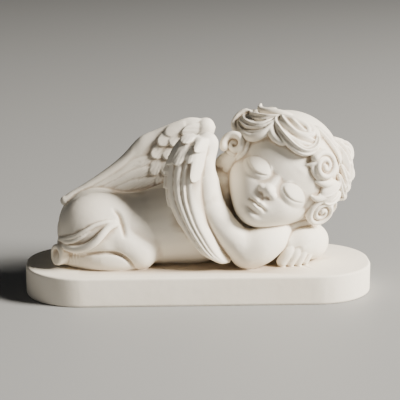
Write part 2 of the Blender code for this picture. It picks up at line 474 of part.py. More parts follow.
def hands():
    """The far hand hangs over its forearm with four fingers; the near one is tucked under the cheek."""
    forms = [loft("near_hand", [(38, -9, 23, 9, 8.2), (50, -8, 25, 8.5, 7), (61, -8, 27, 8, 7),
                                (70, -3, 28, 8.5, 7), (80, 3, 27, 7.5, 6.5)]),
             loft("far_hand", [(81, -7, 16, 9.5, 10.5), (74, -11.5, 16.5, 9.5, 10),
                               (65.5, -14, 15.5, 8, 8.5)])]
    for number, (joints, half) in enumerate(FINGERS):
        stations = [(x, y, z, half, half * (1 - 0.12 * k)) for k, (x, y, z) in enumerate(joints)]
        forms.append(loft(f"finger_{number}", stations, up=(0, -1, 0.3), rings=14, sides=12, caps=3))
    return forms


def feet():
    """Short feet with rimmed, slightly hollow soles turned back and outwards."""
    forms = []
    for side, shift, flip in (("near", 0.0, 1.0), ("far", 8.0, -1.0)):
        foot = [(x + shift, y * flip, z, wide, high) for x, y, z, wide, high in FOOT]
        forms.append(loft(side + "_foot", foot, caps=6, blunt=0.12))
        end, before = np.array(foot[-1]), np.array(foot[-2])
        way = unit(end[:3] - before[:3])
        across = unit(np.cross(way, (0.0, 0.0, 1.0)))
        angle = np.linspace(0, 2 * math.pi, 25)[:, None]
        rim = end[:3] - way * 0.3 + across * np.cos(angle) * (end[3] - 1.9)
        rim = rim + np.array((0.0, 0.0, 1.0)) * np.sin(angle) * (end[4] - 1.9)
        stations = np.hstack([rim, np.full((25, 2), 2.1)])
        forms.append(loft(side + "_sole_rim", stations, up=way, rings=48, sides=10))
    return forms


# Drapery over the near hip: x, z, lift off the skin, half width and half height of each roll.
DRAPE_TOP = [(-101, 19.5), (-97, 21.8), (-89, 26), (-81, 31), (-74, 34.8), (-66, 36.8), (-60, 36.6)]
DRAPE_HEM = [(-101, 18), (-96.6, 17), (-92, 16.6), (-86.2, 17.2), (-79.9, 19.4), (-74.1, 23.4), (-69.5, 28.4),
             (-64.8, 33), (-60, 35)]
HEM_ROLL = [(-100, 19.0, 0.5, 2.0, 1.8), (-96, 17.6, 1.6, 2.4, 2.4), (-91.5, 16.8, 2.2, 2.6, 2.7),
            (-86.2, 17.2, 2.6, 2.8, 2.9), (-79.9, 19.6, 2.7, 2.9, 3.0), (-74.1, 23.6, 2.6, 2.9, 2.9),
            (-69.5, 28.4, 2.2, 2.7, 2.6), (-64.8, 32.8, 1.2, 2.4, 2.0), (-60.0, 34.6, 0.4, 1.8, 1.5),
            (-56, 35.0, -0.8, 1.2, 1.0)]
FOLD_ROLL = [(-99.5, 22.0, 0.6, 1.6, 1.6), (-95, 21.6, 1.4, 1.6, 1.7), (-90, 22.6, 1.4, 1.4, 1.6),
             (-84, 26.0, 1.0, 1.2, 1.3), (-78, 30.2, 0.4, 1.0, 1.0)]
TOP_ROLL = [(-100, 21.5, 0.4, 1.4, 1.4), (-96.5, 23.0, 1.0, 1.5, 1.4), (-89, 26.2, 1.2, 1.5, 1.4),
            (-81, 31.0, 1.1, 1.5, 1.4), (-74, 34.8, 0.9, 1.4, 1.3), (-66, 36.8, 0.5, 1.3, 1.2),
            (-60, 36.6, 0.0, 1.2, 1.1)]


def skin_depth(skin, x, z):
    """Where the body's near face lies along Y at this x and z."""
    start = Vector((x * MODULE, -80 * MODULE, z * MODULE))
    hit = skin.ray_cast(start, Vector((0, 1, 0)))[0]
    if hit is None or hit.y > 0:
        hit = skin.find_nearest(start + Vector((0, 60 * MODULE, 0)))[0]
    return hit.y / MODULE


def drapery(bodies):
    """Thin cloth laid over the near hip from the foot to the thigh, with a rolled hem and two folds."""
    work = bmesh.new()
    for body in bodies:
        work.from_mesh(body.data)
    skin = BVHTree.FromBMesh(work)
    work.free()
    top, hem = smooth_through(DRAPE_TOP, 60), smooth_through(DRAPE_HEM, 60)
    t = np.linspace(0, 1, 24)
    flat = top[:, None] + (hem - top)[:, None] * t[:, None]
    depth = np.array([[skin_depth(skin, x, z) for x, z in row] for row in flat])
    thick = 1.1 * np.sqrt(np.sin(math.pi * np.clip(t, 0.02, 0.98)))
    outer = np.stack([flat[..., 0], depth - thick, flat[..., 1]], -1)
    inner = np.stack([flat[..., 0], depth + 2.0, flat[..., 1]], -1)
    forms = [add_mesh("drape_web", *tube_mesh(np.concatenate([outer, inner[:, ::-1]], axis=1)))]
    for name, roll in (("hem_roll", HEM_ROLL), ("fold_roll", FOLD_ROLL), ("top_roll", TOP_ROLL)):
        rows = [(x, skin_depth(skin, x, z) - lift, z, wide, deep) for x, z, lift, wide, deep in roll]
        forms.append(loft(name, rows, up=(0, -1, 0.2), rings=60, sides=12, caps=3))
    return forms


# Chased creases on the near side: the points in x and z, how wide and how deep, in modules.
CREASES = [([(-60.5, 44.5), (-57, 40.5), (-55, 35), (-53.9, 30.5), (-53.2, 26.5)], 1.6, 2.4),
           ([(-79, 13.2), (-71, 14.6), (-61.5, 14.4), (-55, 12.2), (-50.4, 8.4), (-47.5, 4.0)], 1.3, 1.9),
           ([(-90.8, 13.2), (-91.4, 9.5), (-91, 4.5)], 0.7, 0.6),
           ([(-88.7, 12.5), (-89.2, 9), (-88.8, 4)], 0.7, 0.6),
           ([(-86.6, 12), (-87, 8.5), (-86.7, 3.5)], 0.7, 0.5)]


def groove_depth(points, path, width, depth):
    """How deep a chased line cuts at each point: depth times a bell of the distance to the path."""
    spread = 3 * width
    near = np.all((points > path.min(0) - spread) & (points < path.max(0) + spread), axis=1)
    spot = points[near]
    gaps = np.linalg.norm(spot[:, None] - path[None], axis=2)
    closest = gaps.argmin(1)
    taper = np.sin(np.pi * np.linspace(0.04, 0.96, len(path))) ** 0.6
    cut = np.zeros(len(points))
    cut[near] = depth * taper[closest] * np.exp(-((gaps.min(1) / width) ** 2))
    return cut


def chased(skin, creases):
    """The skin with each crease pressed in along its own normals."""
    work = bmesh.new()
    work.from_mesh(skin.data)
    near = BVHTree.FromBMesh(work)
    work.free()
    count = len(skin.data.vertices)
    points, normals = np.zeros(count * 3), np.zeros(count * 3)
    skin.data.vertices.foreach_get("co", points)
    skin.data.vertex_normals.foreach_get("vector", normals)
    points, normals = points.reshape(-1, 3) / MODULE, normals.reshape(-1, 3)
    for line, width, depth in creases:
        flat = smooth_through(line, 40)
        path = np.array([(x, skin_depth(near, x, z), z) for x, z in flat])
        points = points - normals * groove_depth(points, path, width, depth)[:, None]
    skin.data.vertices.foreach_set("co", (points * MODULE).ravel())
    skin.data.update()
    return skin


def wings():
    return [
        blade("near_blade", NEAR_LEAD, NEAR_TRAIL, (-0.45, -0.88, 0.1), 5.2, 2.2, 4.5, NEAR_COVERTS,
              4.2, 2.3, teeth=2.4),
        blade("far_blade", FAR_LEAD, FAR_TRAIL, (0, -1, 0.15), 3.6, 2.4, 1.0, FAR_COVERTS,
              6.0, 0.8, both=True),
        ball("far_tip", (-97.0, 9.8, 43.2), (4.6, 3.6, 4.4)),
    ]


def joined(forms, name):
    """One mesh object from several, the forms removed."""
    work = bmesh.new()
    for form in forms:
        work.from_mesh(form.data)
        bpy.data.objects.remove(form, do_unlink=True)
    mesh = bpy.data.meshes.new(name)
    work.to_mesh(mesh)
    work.free()
    obj = bpy.data.objects.new(name, mesh)
    bpy.context.scene.collection.objects.link(obj)
    return obj


def baked(obj):
    """The object with its modifiers applied."""
    graph = bpy.context.evaluated_depsgraph_get()
    graph.update()
    mesh = bpy.data.meshes.new_from_object(obj.evaluated_get(graph))
    obj.modifiers.clear()
    obj.data = mesh
    return obj


def fused(obj, voxel, passes, factor=0.5):
    """One skin over all that overlaps, with its hollows filled by smoothing."""
    remesh = obj.modifiers.new("skin", "REMESH")
    remesh.mode = "VOXEL"
    remesh.voxel_size = voxel
    smooth = obj.modifiers.new("ease", "SMOOTH")
    smooth.factor, smooth.iterations = factor, round(passes)
    return baked(obj)


def largest_part(obj):
    """Drops what floats free of the main skin, such as a sealed hollow between forms."""
    work = bmesh.new()
    work.from_mesh(obj.data)
    left, parts = set(work.verts), []
    while left:
        seed = left.pop()
        found, front = {seed}, [seed]
        while front:
            for edge in front.pop().link_edges:
                for vertex in edge.verts:
                    if vertex in left:
                        left.discard(vertex)
                        found.add(vertex)
                        front.append(vertex)
        parts.append(found)
    keep = max(parts, key=len)
    bmesh.ops.delete(work, geom=[v for v in work.verts if v not in keep], context="VERTS")
    work.to_mesh(obj.data)
    work.free()
    return obj


def plinth_ends():
    """Where the plinth starts and stops along X, before the whole is centred on it."""
    return (FIGURE_ENDS[0] * MODULE - PLINTH_FOOT_MARGIN, FIGURE_ENDS[1] * MODULE + PLINTH_ELBOW_MARGIN)


def plinth():
    """Round-ended block: a box whose upright corners are rounded in plan and whose rims are eased."""
    start, stop = plinth_ends()
    depth = 2 * (FIGURE_SIDE * MODULE + PLINTH_SIDE_MARGIN)
    work = bmesh.new()
    size = Matrix.Diagonal((stop - start, depth, PLINTH_HEIGHT, 1.0))
    bmesh.ops.create_cube(work, size=1.0, matrix=Matrix.Translation((0, 0, PLINTH_HEIGHT / 2)) @ size)
    upright = [e for e in work.edges if abs(e.verts[0].co.z - e.verts[1].co.z) > PLINTH_HEIGHT / 2]
    radius = PLINTH_CORNER_SHARE * depth / 2
    bmesh.ops.bevel(work, geom=upright, offset=radius, segments=14, profile=0.5, affect="EDGES")
    mesh = bpy.data.meshes.new("plinth_block")
    work.to_mesh(mesh)
    work.free()
    obj = bpy.data.objects.new("plinth_block", mesh)
    rims = obj.modifiers.new("eased_rims", "BEVEL")
    rims.width = PLINTH_EDGE_ROUND
    rims.segments = 2
    rims.limit_method = "ANGLE"
    rims.angle_limit = math.radians(60)
    obj.hide_render = True
    obj.display_type = "WIRE"
    return obj


def figure():
    """The whole figure as one skin, thinned to its triangle budget."""
    groups = []
    for number, forms in enumerate(soft_forms()):
        groups.append(fused(joined(forms, f"clay_{number}"), SOFT_VOXEL, SOFT_PASSES))
    cloth = drapery(groups[:1])
    crisp = cloth + wings() + [head()] + hair() + hands() + feet()
    skin = fused(joined(groups + crisp, "sleeping_angel"), CRISP_VOXEL, CRISP_PASSES)
    largest_part(skin)
    chased(skin, CREASES)
    thin = skin.modifiers.new("thinned", "DECIMATE")
    thin.ratio = SKIN_TRIANGLES / (2 * len(skin.data.polygons))
    baked(skin)
    start, stop = plinth_ends()
    skin.data.transform(Matrix.Translation((-(start + stop) / 2, 0, PLINTH_HEIGHT - SINK)))
    return skin


def plaster():
    material = bpy.data.materials.new("plaster")
    material.use_nodes = True
    shader = material.node_tree.nodes["Principled BSDF"]
    shader.inputs["Base Color"].default_value = PLASTER
    shader.inputs["Roughness"].default_value = 0.85
    return material


def main():
    clear_scene()
    cast = figure()
    block = plinth()
    part_group = bpy.data.collections.new("sleeping_angel")
    cutters = bpy.data.collections.new("joined_in")
    for group in (part_group, cutters):
        bpy.context.scene.collection.children.link(group)
    bpy.context.scene.collection.objects.unlink(cast)
    part_group.objects.link(cast)
    cutters.objects.link(block)
    union = cast.modifiers.new("one_casting", "BOOLEAN")
    union.operation = "UNION"
    union.solver = "EXACT"
    union.object = block
    cast.data.materials.append(plaster())
    cast.data.shade_smooth()


if __name__ == "__main__":
    main()
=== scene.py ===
"""Sleeping angel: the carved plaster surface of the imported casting, with its stage and camera.

Blender 4.5, metres, +Z up. The origin is the centre of the plinth's underside, +X runs from the
feet to the head and -Y is the side that the face looks to.
"""
import math

import bmesh
import bpy
import numpy as np
from mathutils import Matrix, Vector
from mathutils.bvhtree import BVHTree


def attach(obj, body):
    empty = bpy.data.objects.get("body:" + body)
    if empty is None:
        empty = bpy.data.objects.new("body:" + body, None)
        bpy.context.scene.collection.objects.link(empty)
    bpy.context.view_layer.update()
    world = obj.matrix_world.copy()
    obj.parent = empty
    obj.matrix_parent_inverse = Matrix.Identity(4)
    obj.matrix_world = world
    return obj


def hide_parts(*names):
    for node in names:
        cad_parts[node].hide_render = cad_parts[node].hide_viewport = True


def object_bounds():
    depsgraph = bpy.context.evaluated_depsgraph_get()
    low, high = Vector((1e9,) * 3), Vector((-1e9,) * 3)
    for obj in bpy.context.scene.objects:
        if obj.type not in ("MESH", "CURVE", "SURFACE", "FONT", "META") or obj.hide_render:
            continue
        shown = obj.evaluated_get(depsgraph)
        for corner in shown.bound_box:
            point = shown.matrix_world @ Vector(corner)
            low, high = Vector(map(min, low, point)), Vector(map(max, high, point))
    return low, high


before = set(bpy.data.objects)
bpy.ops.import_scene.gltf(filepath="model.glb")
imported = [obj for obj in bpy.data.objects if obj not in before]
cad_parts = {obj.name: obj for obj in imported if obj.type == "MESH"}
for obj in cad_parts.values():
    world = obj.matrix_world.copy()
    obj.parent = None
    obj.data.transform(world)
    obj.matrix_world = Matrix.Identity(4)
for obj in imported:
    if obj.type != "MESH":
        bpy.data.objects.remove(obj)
CAD_LOW, CAD_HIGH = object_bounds()

bl_info = {
    "name": "Sleeping angel",
    "version": (1, 0, 0),
    "blender": (4, 5, 0),
    "location": "3D View > Sidebar > Angel",
    "description": "Builds a plaster casting of a sleeping winged child and its studio stage",
    "category": "Object",
}

# The figure is drawn in modules of a millimetre, counted from the plinth's top, and is 110 of them high.
MODULE = 0.001

# The plinth, in metres.
PLINTH_HEIGHT = 0.021
PLINTH_CORNER_SHARE = 0.9    # plan corner radius as a share of half the plinth's depth
PLINTH_EDGE_ROUND = 0.0016
SINK = 0.0005                # how far the figure's underside is let into the plinth
UNDERSIDE_SNAP = 0.0004      # what lies lower than this is laid flat on the underside

# The skin: how fine the soft groups are fused, and how often each skin is smoothed.
SOFT_VOXEL = 2.2 * MODULE
SOFT_PASSES = 8
CAST_PASSES = 1

# Painted shade in hollows: how far a surface lies under its near and its wider surroundings for a full
# brown tint.
NEAR_SHADE_HOLLOW = 0.00012
WIDE_SHADE_HOLLOW = 0.0006

# The plaster's patterns, in repeats to a metre, and the depth of its ripple in metres.
CLOUD_SCALE = 22.0
RIPPLE_SCALE = 130.0
GRAIN_SCALE = 900.0
RIPPLE_DEPTH = 0.0005

# The stage: where the two lights stand, where they point, how wide they are and their colours.
LIGHT_AIM = (0, 0, 0.06)
KEY_PLACE = (2.5, -0.85, 1.65)
KEY_SIZE = 0.9
KEY_COLOUR = (1.0, 0.955, 0.88)
FILL_PLACE = (-1.2, -2.0, 0.8)
FILL_SIZE = 1.4
FILL_COLOUR = (0.95, 0.97, 1.0)
SURROUND_COLOUR = (0.75, 0.76, 0.78, 1.0)
VIEW_MIDDLE = (0.0012, 0.0, 0.0658)
SENSOR_WIDTH = 36.0

# The head: its centre in the figure, and its turn.
HEAD_CENTRE = (57.2, 6.5, 60.0)
HEAD_ROLL = 38.0      # degrees, crown towards +X
HEAD_NOD = -14.0      # degrees, negative looks up
HEAD_TURN = -2.0      # degrees about the upright
CAP_CENTRE = np.array((0.0, 0.5, 9.5))
CAP_RADII = np.array((41.0, 40.0, 42.0))
CAP_BACK = 32.5       # the cap's reach behind its centre, less than in front


def smooth_through(rows, count):
    """Catmull-Rom curve through the rows, sampled at even steps of its parameter."""
    rows = np.asarray(rows, float)
    padded = np.vstack([2 * rows[0] - rows[1], rows, 2 * rows[-1] - rows[-2]])
    t = np.linspace(0, len(rows) - 1, count)
    i = np.minimum(t.astype(int), len(rows) - 2)
    f = (t - i)[:, None]
    a, b, c, d = padded[i], padded[i + 1], padded[i + 2], padded[i + 3]
    return 0.5 * (2 * b + (c - a) * f + (2 * a - 5 * b + 4 * c - d) * f**2
                  + (3 * b - a - 3 * c + d) * f**3)


def unit(v):
    """Each vector divided by its own length."""
    return v / np.maximum(np.linalg.norm(v, axis=-1, keepdims=True), 1e-9)


def tube_mesh(rings):
    """Vertices and faces of a closed tube from an array of rings (count, sides, 3)."""
    count, sides, _ = rings.shape
    points = np.vstack([rings.reshape(-1, 3), rings[0].mean(0), rings[-1].mean(0)])
    k, j = np.meshgrid(np.arange(count - 1), np.arange(sides), indexing="ij")
    n = (j + 1) % sides
    quads = np.stack([k * sides + j, k * sides + n, (k + 1) * sides + n, (k + 1) * sides + j], -1)
    first, last = count * sides, count * sides + 1
    j = np.arange(sides)
    n = (j + 1) % sides
    start = np.stack([n, j, np.full(sides, first)], -1)
    end = np.stack([j, n, np.full(sides, last)], -1) + np.array([1, 1, 0]) * (count - 1) * sides
    return points, quads.reshape(-1, 4).tolist() + start.tolist() + end.tolist()


def shown(name, mesh):
    """New object of the mesh, in the scene."""
    obj = bpy.data.objects.new(name, mesh)
    bpy.context.scene.collection.objects.link(obj)
    return obj


def finished(name, work):
    """New object of the faces worked on, in the scene."""
    mesh = bpy.data.meshes.new(name)
    work.to_mesh(mesh)
    work.free()
    return shown(name, mesh)


def touch_tree(bodies):
    """Search tree over the bodies' faces, to find where their surface lies."""
    work = bmesh.new()
    for body in bodies:
        work.from_mesh(body.data)
    tree = BVHTree.FromBMesh(work)
    work.free()
    return tree


def add_mesh(name, points, faces):
    """New object from points in modules, its faces turned outwards."""
    mesh = bpy.data.meshes.new(name)
    mesh.from_pydata((np.asarray(points) * MODULE).tolist(), [], faces)
    work = bmesh.new()
    work.from_mesh(mesh)
    bmesh.ops.recalc_face_normals(work, faces=work.faces)
    work.to_mesh(mesh)
    work.free()
    return shown(name, mesh)


def loft(name, stations, up=(0, 0, 1), rings=30, sides=20, caps=5, strands=0, blunt=1.0, ups=None):
    """Closed limb through stations of x, y, z, half width, half height; its ends are rounded.

    ups gives each station its own section direction; strands parts the outer face into locks of hair; blunt
    is how far the last end bulges, as a share of its radius.
    """
    rows = smooth_through(stations, rings)
    path, radii = rows[:, :3], np.maximum(rows[:, 3:5], 0.05)
    # Directions across the limb: to its side, and up as far as its path allows.
    tangent = unit(np.gradient(path, axis=0))
    along = smooth_through(ups, rings) if ups is not None else np.tile(np.array(up, float), (rings, 1))
    side = unit(np.cross(tangent, along))
    top = np.cross(side, tangent)
    # The rounded ends, as quarter circles of rings past the first and last station.
    turn = np.linspace(0, math.pi / 2, caps + 1)[1:]
    reach = radii.mean(1)
    lead = [path[0] - tangent[0] * reach[0] * math.sin(a) for a in turn[::-1]]
    tail = [path[-1] + tangent[-1] * reach[-1] * blunt * math.sin(a) for a in turn]
    ends = np.maximum(np.cos(turn), 0.02)[:, None]
    path = np.vstack([lead, path, tail])
    radii = np.vstack([radii[0] * ends[::-1], radii, radii[-1] * ends ** (blunt if blunt < 1 else 1.0)])
    side = np.vstack([np.tile(side[0], (caps, 1)), side, np.tile(side[-1], (caps, 1))])
    top = np.vstack([np.tile(top[0], (caps, 1)), top, np.tile(top[-1], (caps, 1))])
    angle = np.linspace(0, 2 * math.pi, sides, endpoint=False)
    swell = 1 + 0.3 * np.cos(math.pi * strands * np.cos(angle)) * (np.sin(angle) > 0) if strands else 1.0
    ring = (path[:, None] + side[:, None] * (radii[:, :1] * np.cos(angle))[..., None]
            + top[:, None] * (radii[:, 1:] * np.sin(angle) * swell)[..., None])
    return add_mesh(name, *tube_mesh(ring))


def ball(name, centre, radii):
    """Ellipsoid from a UV sphere, its centre and radii in modules."""
    work = bmesh.new()
    place = Matrix.Translation([c * MODULE for c in centre])
    place = place @ Matrix.Diagonal([r * MODULE for r in radii] + [1.0])
    bmesh.ops.create_uvsphere(work, u_segments=28, v_segments=18, radius=1.0, matrix=place)
    return finished(name, work)


def mirrored(rows):
    """The same stations on the far side of the figure."""
    rows = np.array(rows, float)
    rows[:, 1] *= -1
    return rows


# Trunk, limbs and neck: x, y, z, half width, half height in modules above the plinth.
TRUNK = [(-74, 0, 25, 27, 25), (-56, 0, 25, 27, 26), (-38, 0, 25, 26, 27.5), (-20, 0, 28, 27, 30.5),
         (-4, 0, 31.5, 28, 33.5), (9, 3, 36, 23, 34), (19, 6, 38, 14, 26)]
THIGH = [(-74, -12, 27, 17, 20), (-62, -16, 25, 14.5, 15.5), (-51, -19, 17, 13.3, 13.3),
         (-43, -20, 11.5, 13, 12.5)]
CALF = [(-47, -20.5, 7.6, 9.3, 9.2), (-58, -22, 7.8, 9.9, 9.9), (-72, -21, 8, 9.7, 9.7),
        (-84, -17, 7.4, 7.8, 8.4), (-92, -14, 7, 6.4, 6.8)]
NEAR_UPPER_ARM = [(3, -15, 62, 11, 12), (5, -19, 50, 12, 12), (10, -21.5, 41, 12, 10.8),
                  (19, -22.5, 28, 12.3, 10.8), (28.5, -23, 18, 12.8, 12)]
NEAR_FOREARM = [(34, -23, 13, 13, 14), (43, -22.5, 16.5, 13.5, 14.2), (51, -19.5, 20, 12.2, 12),
                (57, -14, 24, 9.8, 9.2), (62, -7, 27, 7.5, 6.5)]
FAR_UPPER_ARM = [(18, 15, 52, 13.5, 13.5), (38, 18, 40, 13, 13), (60, 17, 28, 13, 13),
                 (80, 9, 17.5, 13, 12.5)]
FAR_FOREARM = [(83, 3, 13.5, 13.2, 13.5), (80.5, -6, 13.5, 12, 12.3), (74, -12, 13.5, 10.5, 9.8)]
NECK = [(8, 2, 48, 14, 16), (26, 4, 55, 12, 14), (44, 5, 58, 12, 13)]


def soft_forms():
    """Groups that each flow together in the clay; where two groups meet, a crease stays."""
    trunk = [loft("trunk", TRUNK), loft("neck", NECK), loft("near_upper_arm", NEAR_UPPER_ARM),
             loft("near_forearm", NEAR_FOREARM), loft("far_upper_arm", FAR_UPPER_ARM),
             loft("near_stalk", NEAR_STALK), loft("far_stalk", FAR_STALK), loft("wing_root", WING_ROOT),
             loft("near_thigh", THIGH), loft("far_thigh", mirrored(THIGH))]
    for side in (-1, 1):
        trunk.append(ball("buttock", (-71, 10.5 * side, 26.5), (31.2, 20.5, 27.5)))
        trunk.append(ball("flank", (-66, 16.5 * side, 18.5), (19, 14.5, 16)))
        trunk.append(ball("seat", (-55, 12 * side, 7), (16, 10, 9)))
    calves = [loft("near_calf", CALF), loft("far_calf", mirrored(CALF))]
    return [trunk, calves, [loft("far_forearm", FAR_FOREARM)]]


# Wings: the leading and trailing edge of each blade, x, y, z in modules.
NEAR_LEAD = [(8, -16, 95), (8, -23, 94), (5, -28, 87), (2.5, -30.5, 77), (0.5, -31.5, 66), (1, -31.5, 52),
             (4.5, -32, 37), (10, -31.5, 25), (16, -30, 14), (22, -28, 6)]
NEAR_TRAIL = [(4, -12, 96), (-9, -15, 96.5), (-18, -19, 88), (-22, -22, 78.5), (-23.5, -24, 67),
              (-22, -25.5, 53), (-15, -27.5, 37.5), (-7.5, -28.5, 24.5), (2, -28.5, 13), (15, -27.5, 5)]
FAR_LEAD = [(11.5, 10, 97.5), (5, 10.5, 102.5), (-6, 11, 104), (-17, 12, 100.5), (-30, 14, 95),
            (-40, 15, 90.5), (-45, 16, 86.5), (-56, 16, 74.5), (-70, 15.5, 63.5), (-84, 14, 54.5),
            (-94, 12, 49), (-99, 10.5, 45)]
FAR_TRAIL = [(10, 9, 88), (6, 8, 66), (-6, 7, 56), (-18, 7.5, 50), (-30, 8.5, 46), (-42, 9, 43.5),
             (-52, 9, 42.5), (-62, 9, 42), (-72, 9, 42), (-82, 9, 41), (-90, 9, 40), (-97, 9.5, 41)]
NEAR_STALK = [(4, -14, 58, 10, 12.5), (2, -16, 68, 9.8, 11), (1.5, -17, 77, 9.8, 9.8),
              (3.5, -17.5, 86, 10, 9.8), (5, -18, 90, 9.5, 9)]
WING_ROOT = [(3, -22, 82, 7, 7), (3.5, -23, 68, 8, 8), (4.5, -23.5, 54, 8, 8), (8, -24, 42, 7.5, 7.5),
             (14, -23, 30, 7, 7)]
FAR_STALK = [(10, 14, 56, 12, 12), (3, 13, 70, 9.5, 9.5), (0, 12, 82, 8.5, 8.5), (5.5, 11, 96.5, 8, 8)]
BARB_DEPTH = 0.16     # how deep the fine barbs are cut into each feather, in modules
# Covert feathers: root x, z, tip x, z, half width and lift, as seen from the front.
NEAR_COVERTS = [(-1.7, 103, -10.4, 92.5, 4.6, 4.6), (5.5, 98.5, 0.5, 86.5, 5.2, 4.4),
                (-7.5, 94, -16.2, 77.6, 4.8, 3.6), (-14.7, 92, -21.5, 77, 4.2, 2.8),
                (-3.1, 92, -6.5, 79, 3.8, 3.2), (1.2, 90, -2.4, 65.6, 4.0, 3.6),
                (-19, 84, -23.5, 69, 3.2, 2.0)]
FAR_COVERTS = [(10, 95, -12, 93, 6.5, 2.6), (-8, 99, -24, 92, 5.0, 2.2), (-12, 92, -20, 84, 4.8, 2.4),
               (-17, 92.5, -29, 84.5, 5.0, 2.6), (-22, 85, -33.5, 75, 5.0, 2.0),
               (-17, 84, -24.5, 74, 4.5, 2.0), (-26, 77, -33.5, 62, 4.6, 1.6),
               (-18, 76, -25, 62, 4.6, 1.6), (-24, 66, -29.5, 54, 4.2, 1.2),
               (-14, 66, -20, 52, 4.6, 1.3)]


def covert_relief(x, z, coverts):
    """Height of overlapping scales: each is highest at its rounded tip and drops sharply at its edge."""
    height = np.zeros_like(x)
    for x0, z0, x1, z1, half, lift in coverts:
        long = math.hypot(x1 - x0, z1 - z0)
        ux, uz = (x1 - x0) / long, (z1 - z0) / long
        p = ((x - x0) * ux + (z - z0) * uz) / long
        q = ((x - x0) * -uz + (z - z0) * ux) / half
        tip = np.clip((p - 0.55) / 0.45, 0, 1)
        width = (0.8 + 0.2 * np.clip(p / 0.55, 0, 1)) * np.sqrt(1 - tip**2)
        inside = np.clip((width - np.abs(q)) / 0.12, 0, 1) * np.clip(p / 0.1, 0, 1)
        crown = lift * (0.3 + 0.7 * p) * (1 - 0.3 * q**2)
        crown = crown + BARB_DEPTH * np.cos(2 * math.pi * (2.5 * np.abs(q) - 0.5 * p)) * ramp(p, 0.2, 0.6)
        height = np.maximum(height, inside * crown)
    return height


def blade(name, lead, trail, face, edge_half, web_half, bulge, coverts, bands, band_depth,
          teeth=0.0, both=False, rows=330, columns=170):
    """Wing blade: a web between two edge curves, thick along the leading edge, with feathers on its face.

    teeth is how far the feather tips step past the trailing edge.
    """
    lead, trail = smooth_through(lead, rows), smooth_through(trail, rows)
    s = np.linspace(0, 1, rows)[:, None]
    # The blade's middle sheet, curved out towards its face, its trailing edge stepped by the feather tips.
    step = np.mod(s * 10, 1.0) * np.clip((s - 0.28) / 0.04, 0, 1) * np.clip((0.72 - s) / 0.1, 0, 1)
    face = unit(np.array(face, float))
    t = np.linspace(0, 1, columns)
    middle = lead[:, None] + (trail - lead)[:, None] * t[:, None]
    middle = middle + face * (bulge * np.sin(math.pi * t))[:, None]
    middle = middle + (unit(trail - lead) * teeth * step)[:, None] * (t**10)[:, None]
    # Half its thickness: a bar along the leading edge, a thin web behind it, all edges rounded.
    bar = np.exp(-((t / 0.3) ** 4))
    half = web_half + (edge_half - web_half) * bar
    rounding = np.sqrt(np.clip(1 - (1 - np.clip(t / 0.22, 0, 1)) ** 2, 0, 1))
    rounding = rounding * np.sqrt(np.clip(1 - (1 - np.clip((1 - t) / 0.06, 0, 1)) ** 2, 0, 1))
    close = np.sqrt(np.clip(1 - (2 * s - 1) ** 12, 0, 1))
    half = half * rounding * close
    # Long vanes side by side, each steeper on its leading side, with barbs slanting over them.
    share = np.mod(t * bands + 0.15 * s, 1.0)
    vanes = np.sin(math.pi * share) ** 0.45 * (1 - 0.4 * share) * np.clip((t - 0.3) / 0.05, 0, 1)
    barbs = BARB_DEPTH * np.sin(2 * math.pi * (4 * t * bands - 18 * s)) * ramp(t, 0.34, 0.4)
    scales = covert_relief(middle[..., 0], middle[..., 2], coverts)
    relief = np.maximum(band_depth * vanes + barbs, scales) * rounding * close
    # The face carries the relief; the back is plain but for a swelling behind the bar.
    outer = middle + face * (half + relief)[..., None]
    backing = relief if both else 4.0 * np.exp(-((t / 0.25) ** 2)) * rounding * close
    inner = middle - face * (half + backing)[..., None]
    return add_mesh(name, *tube_mesh(np.concatenate([outer, inner[:, ::-1]], axis=1)))


def head_matrix():
    """The head's roll, then its nod, then its turn."""
    turn = Matrix.Rotation(math.radians(HEAD_TURN), 4, "Z")
    nod = Matrix.Rotation(math.radians(HEAD_NOD), 4, "X")
    roll = Matrix.Rotation(math.radians(HEAD_ROLL), 4, "Y")
    return np.array(turn @ nod @ roll)


def place_head(points):
    """Points of the upright head, turned and carried to its place on the arms."""
    matrix = head_matrix()
    return np.asarray(points) @ matrix[:3, :3].T + np.array(HEAD_CENTRE)


# Skull and jaw from chin to crown: height, half width, middle along Y, half depth.
HEAD_SECTIONS = [(-41, 0.5, -21, 0.5), (-40, 5.5, -21, 6), (-38, 10, -20.5, 11.5), (-34, 15.5, -18.5, 17),
                 (-28, 22, -14, 23.5), (-20, 28.8, -8, 30.5), (-11, 34, -2.5, 36.5), (1, 37.3, 1.5, 40),
                 (16, 38, 3, 41), (30, 33.5, 3, 36), (40, 24, 3, 26), (46, 12, 3, 13), (47.5, 0.5, 3, 0.5)]


def bump(x, z, cx, cz, wx, wz):
    """Soft mound round a point: a bell of the distance from it, with a width each way."""
    return np.exp(-(((x - cx) / wx) ** 2) - ((z - cz) / wz) ** 2)


def ramp(value, start, end):
    """Smooth step from 0 at start to 1 at end."""
    share = np.clip((value - start) / (end - start), 0, 1)
    return share * share * (3 - 2 * share)


def dome(x, z, cx, cz, wx, wz):
    """Round button: the upper half of an ellipsoid, 1 at its middle and 0 from its rim on."""
    return np.sqrt(np.clip(1 - ((x - cx) / wx) ** 2 - ((z - cz) / wz) ** 2, 0, 1))


def eased_max(a, b, soft):
    """The greater of two heights, with a fillet of the given softness where they cross."""
    return 0.5 * (a + b + np.sqrt((a - b) ** 2 + soft**2) - soft)


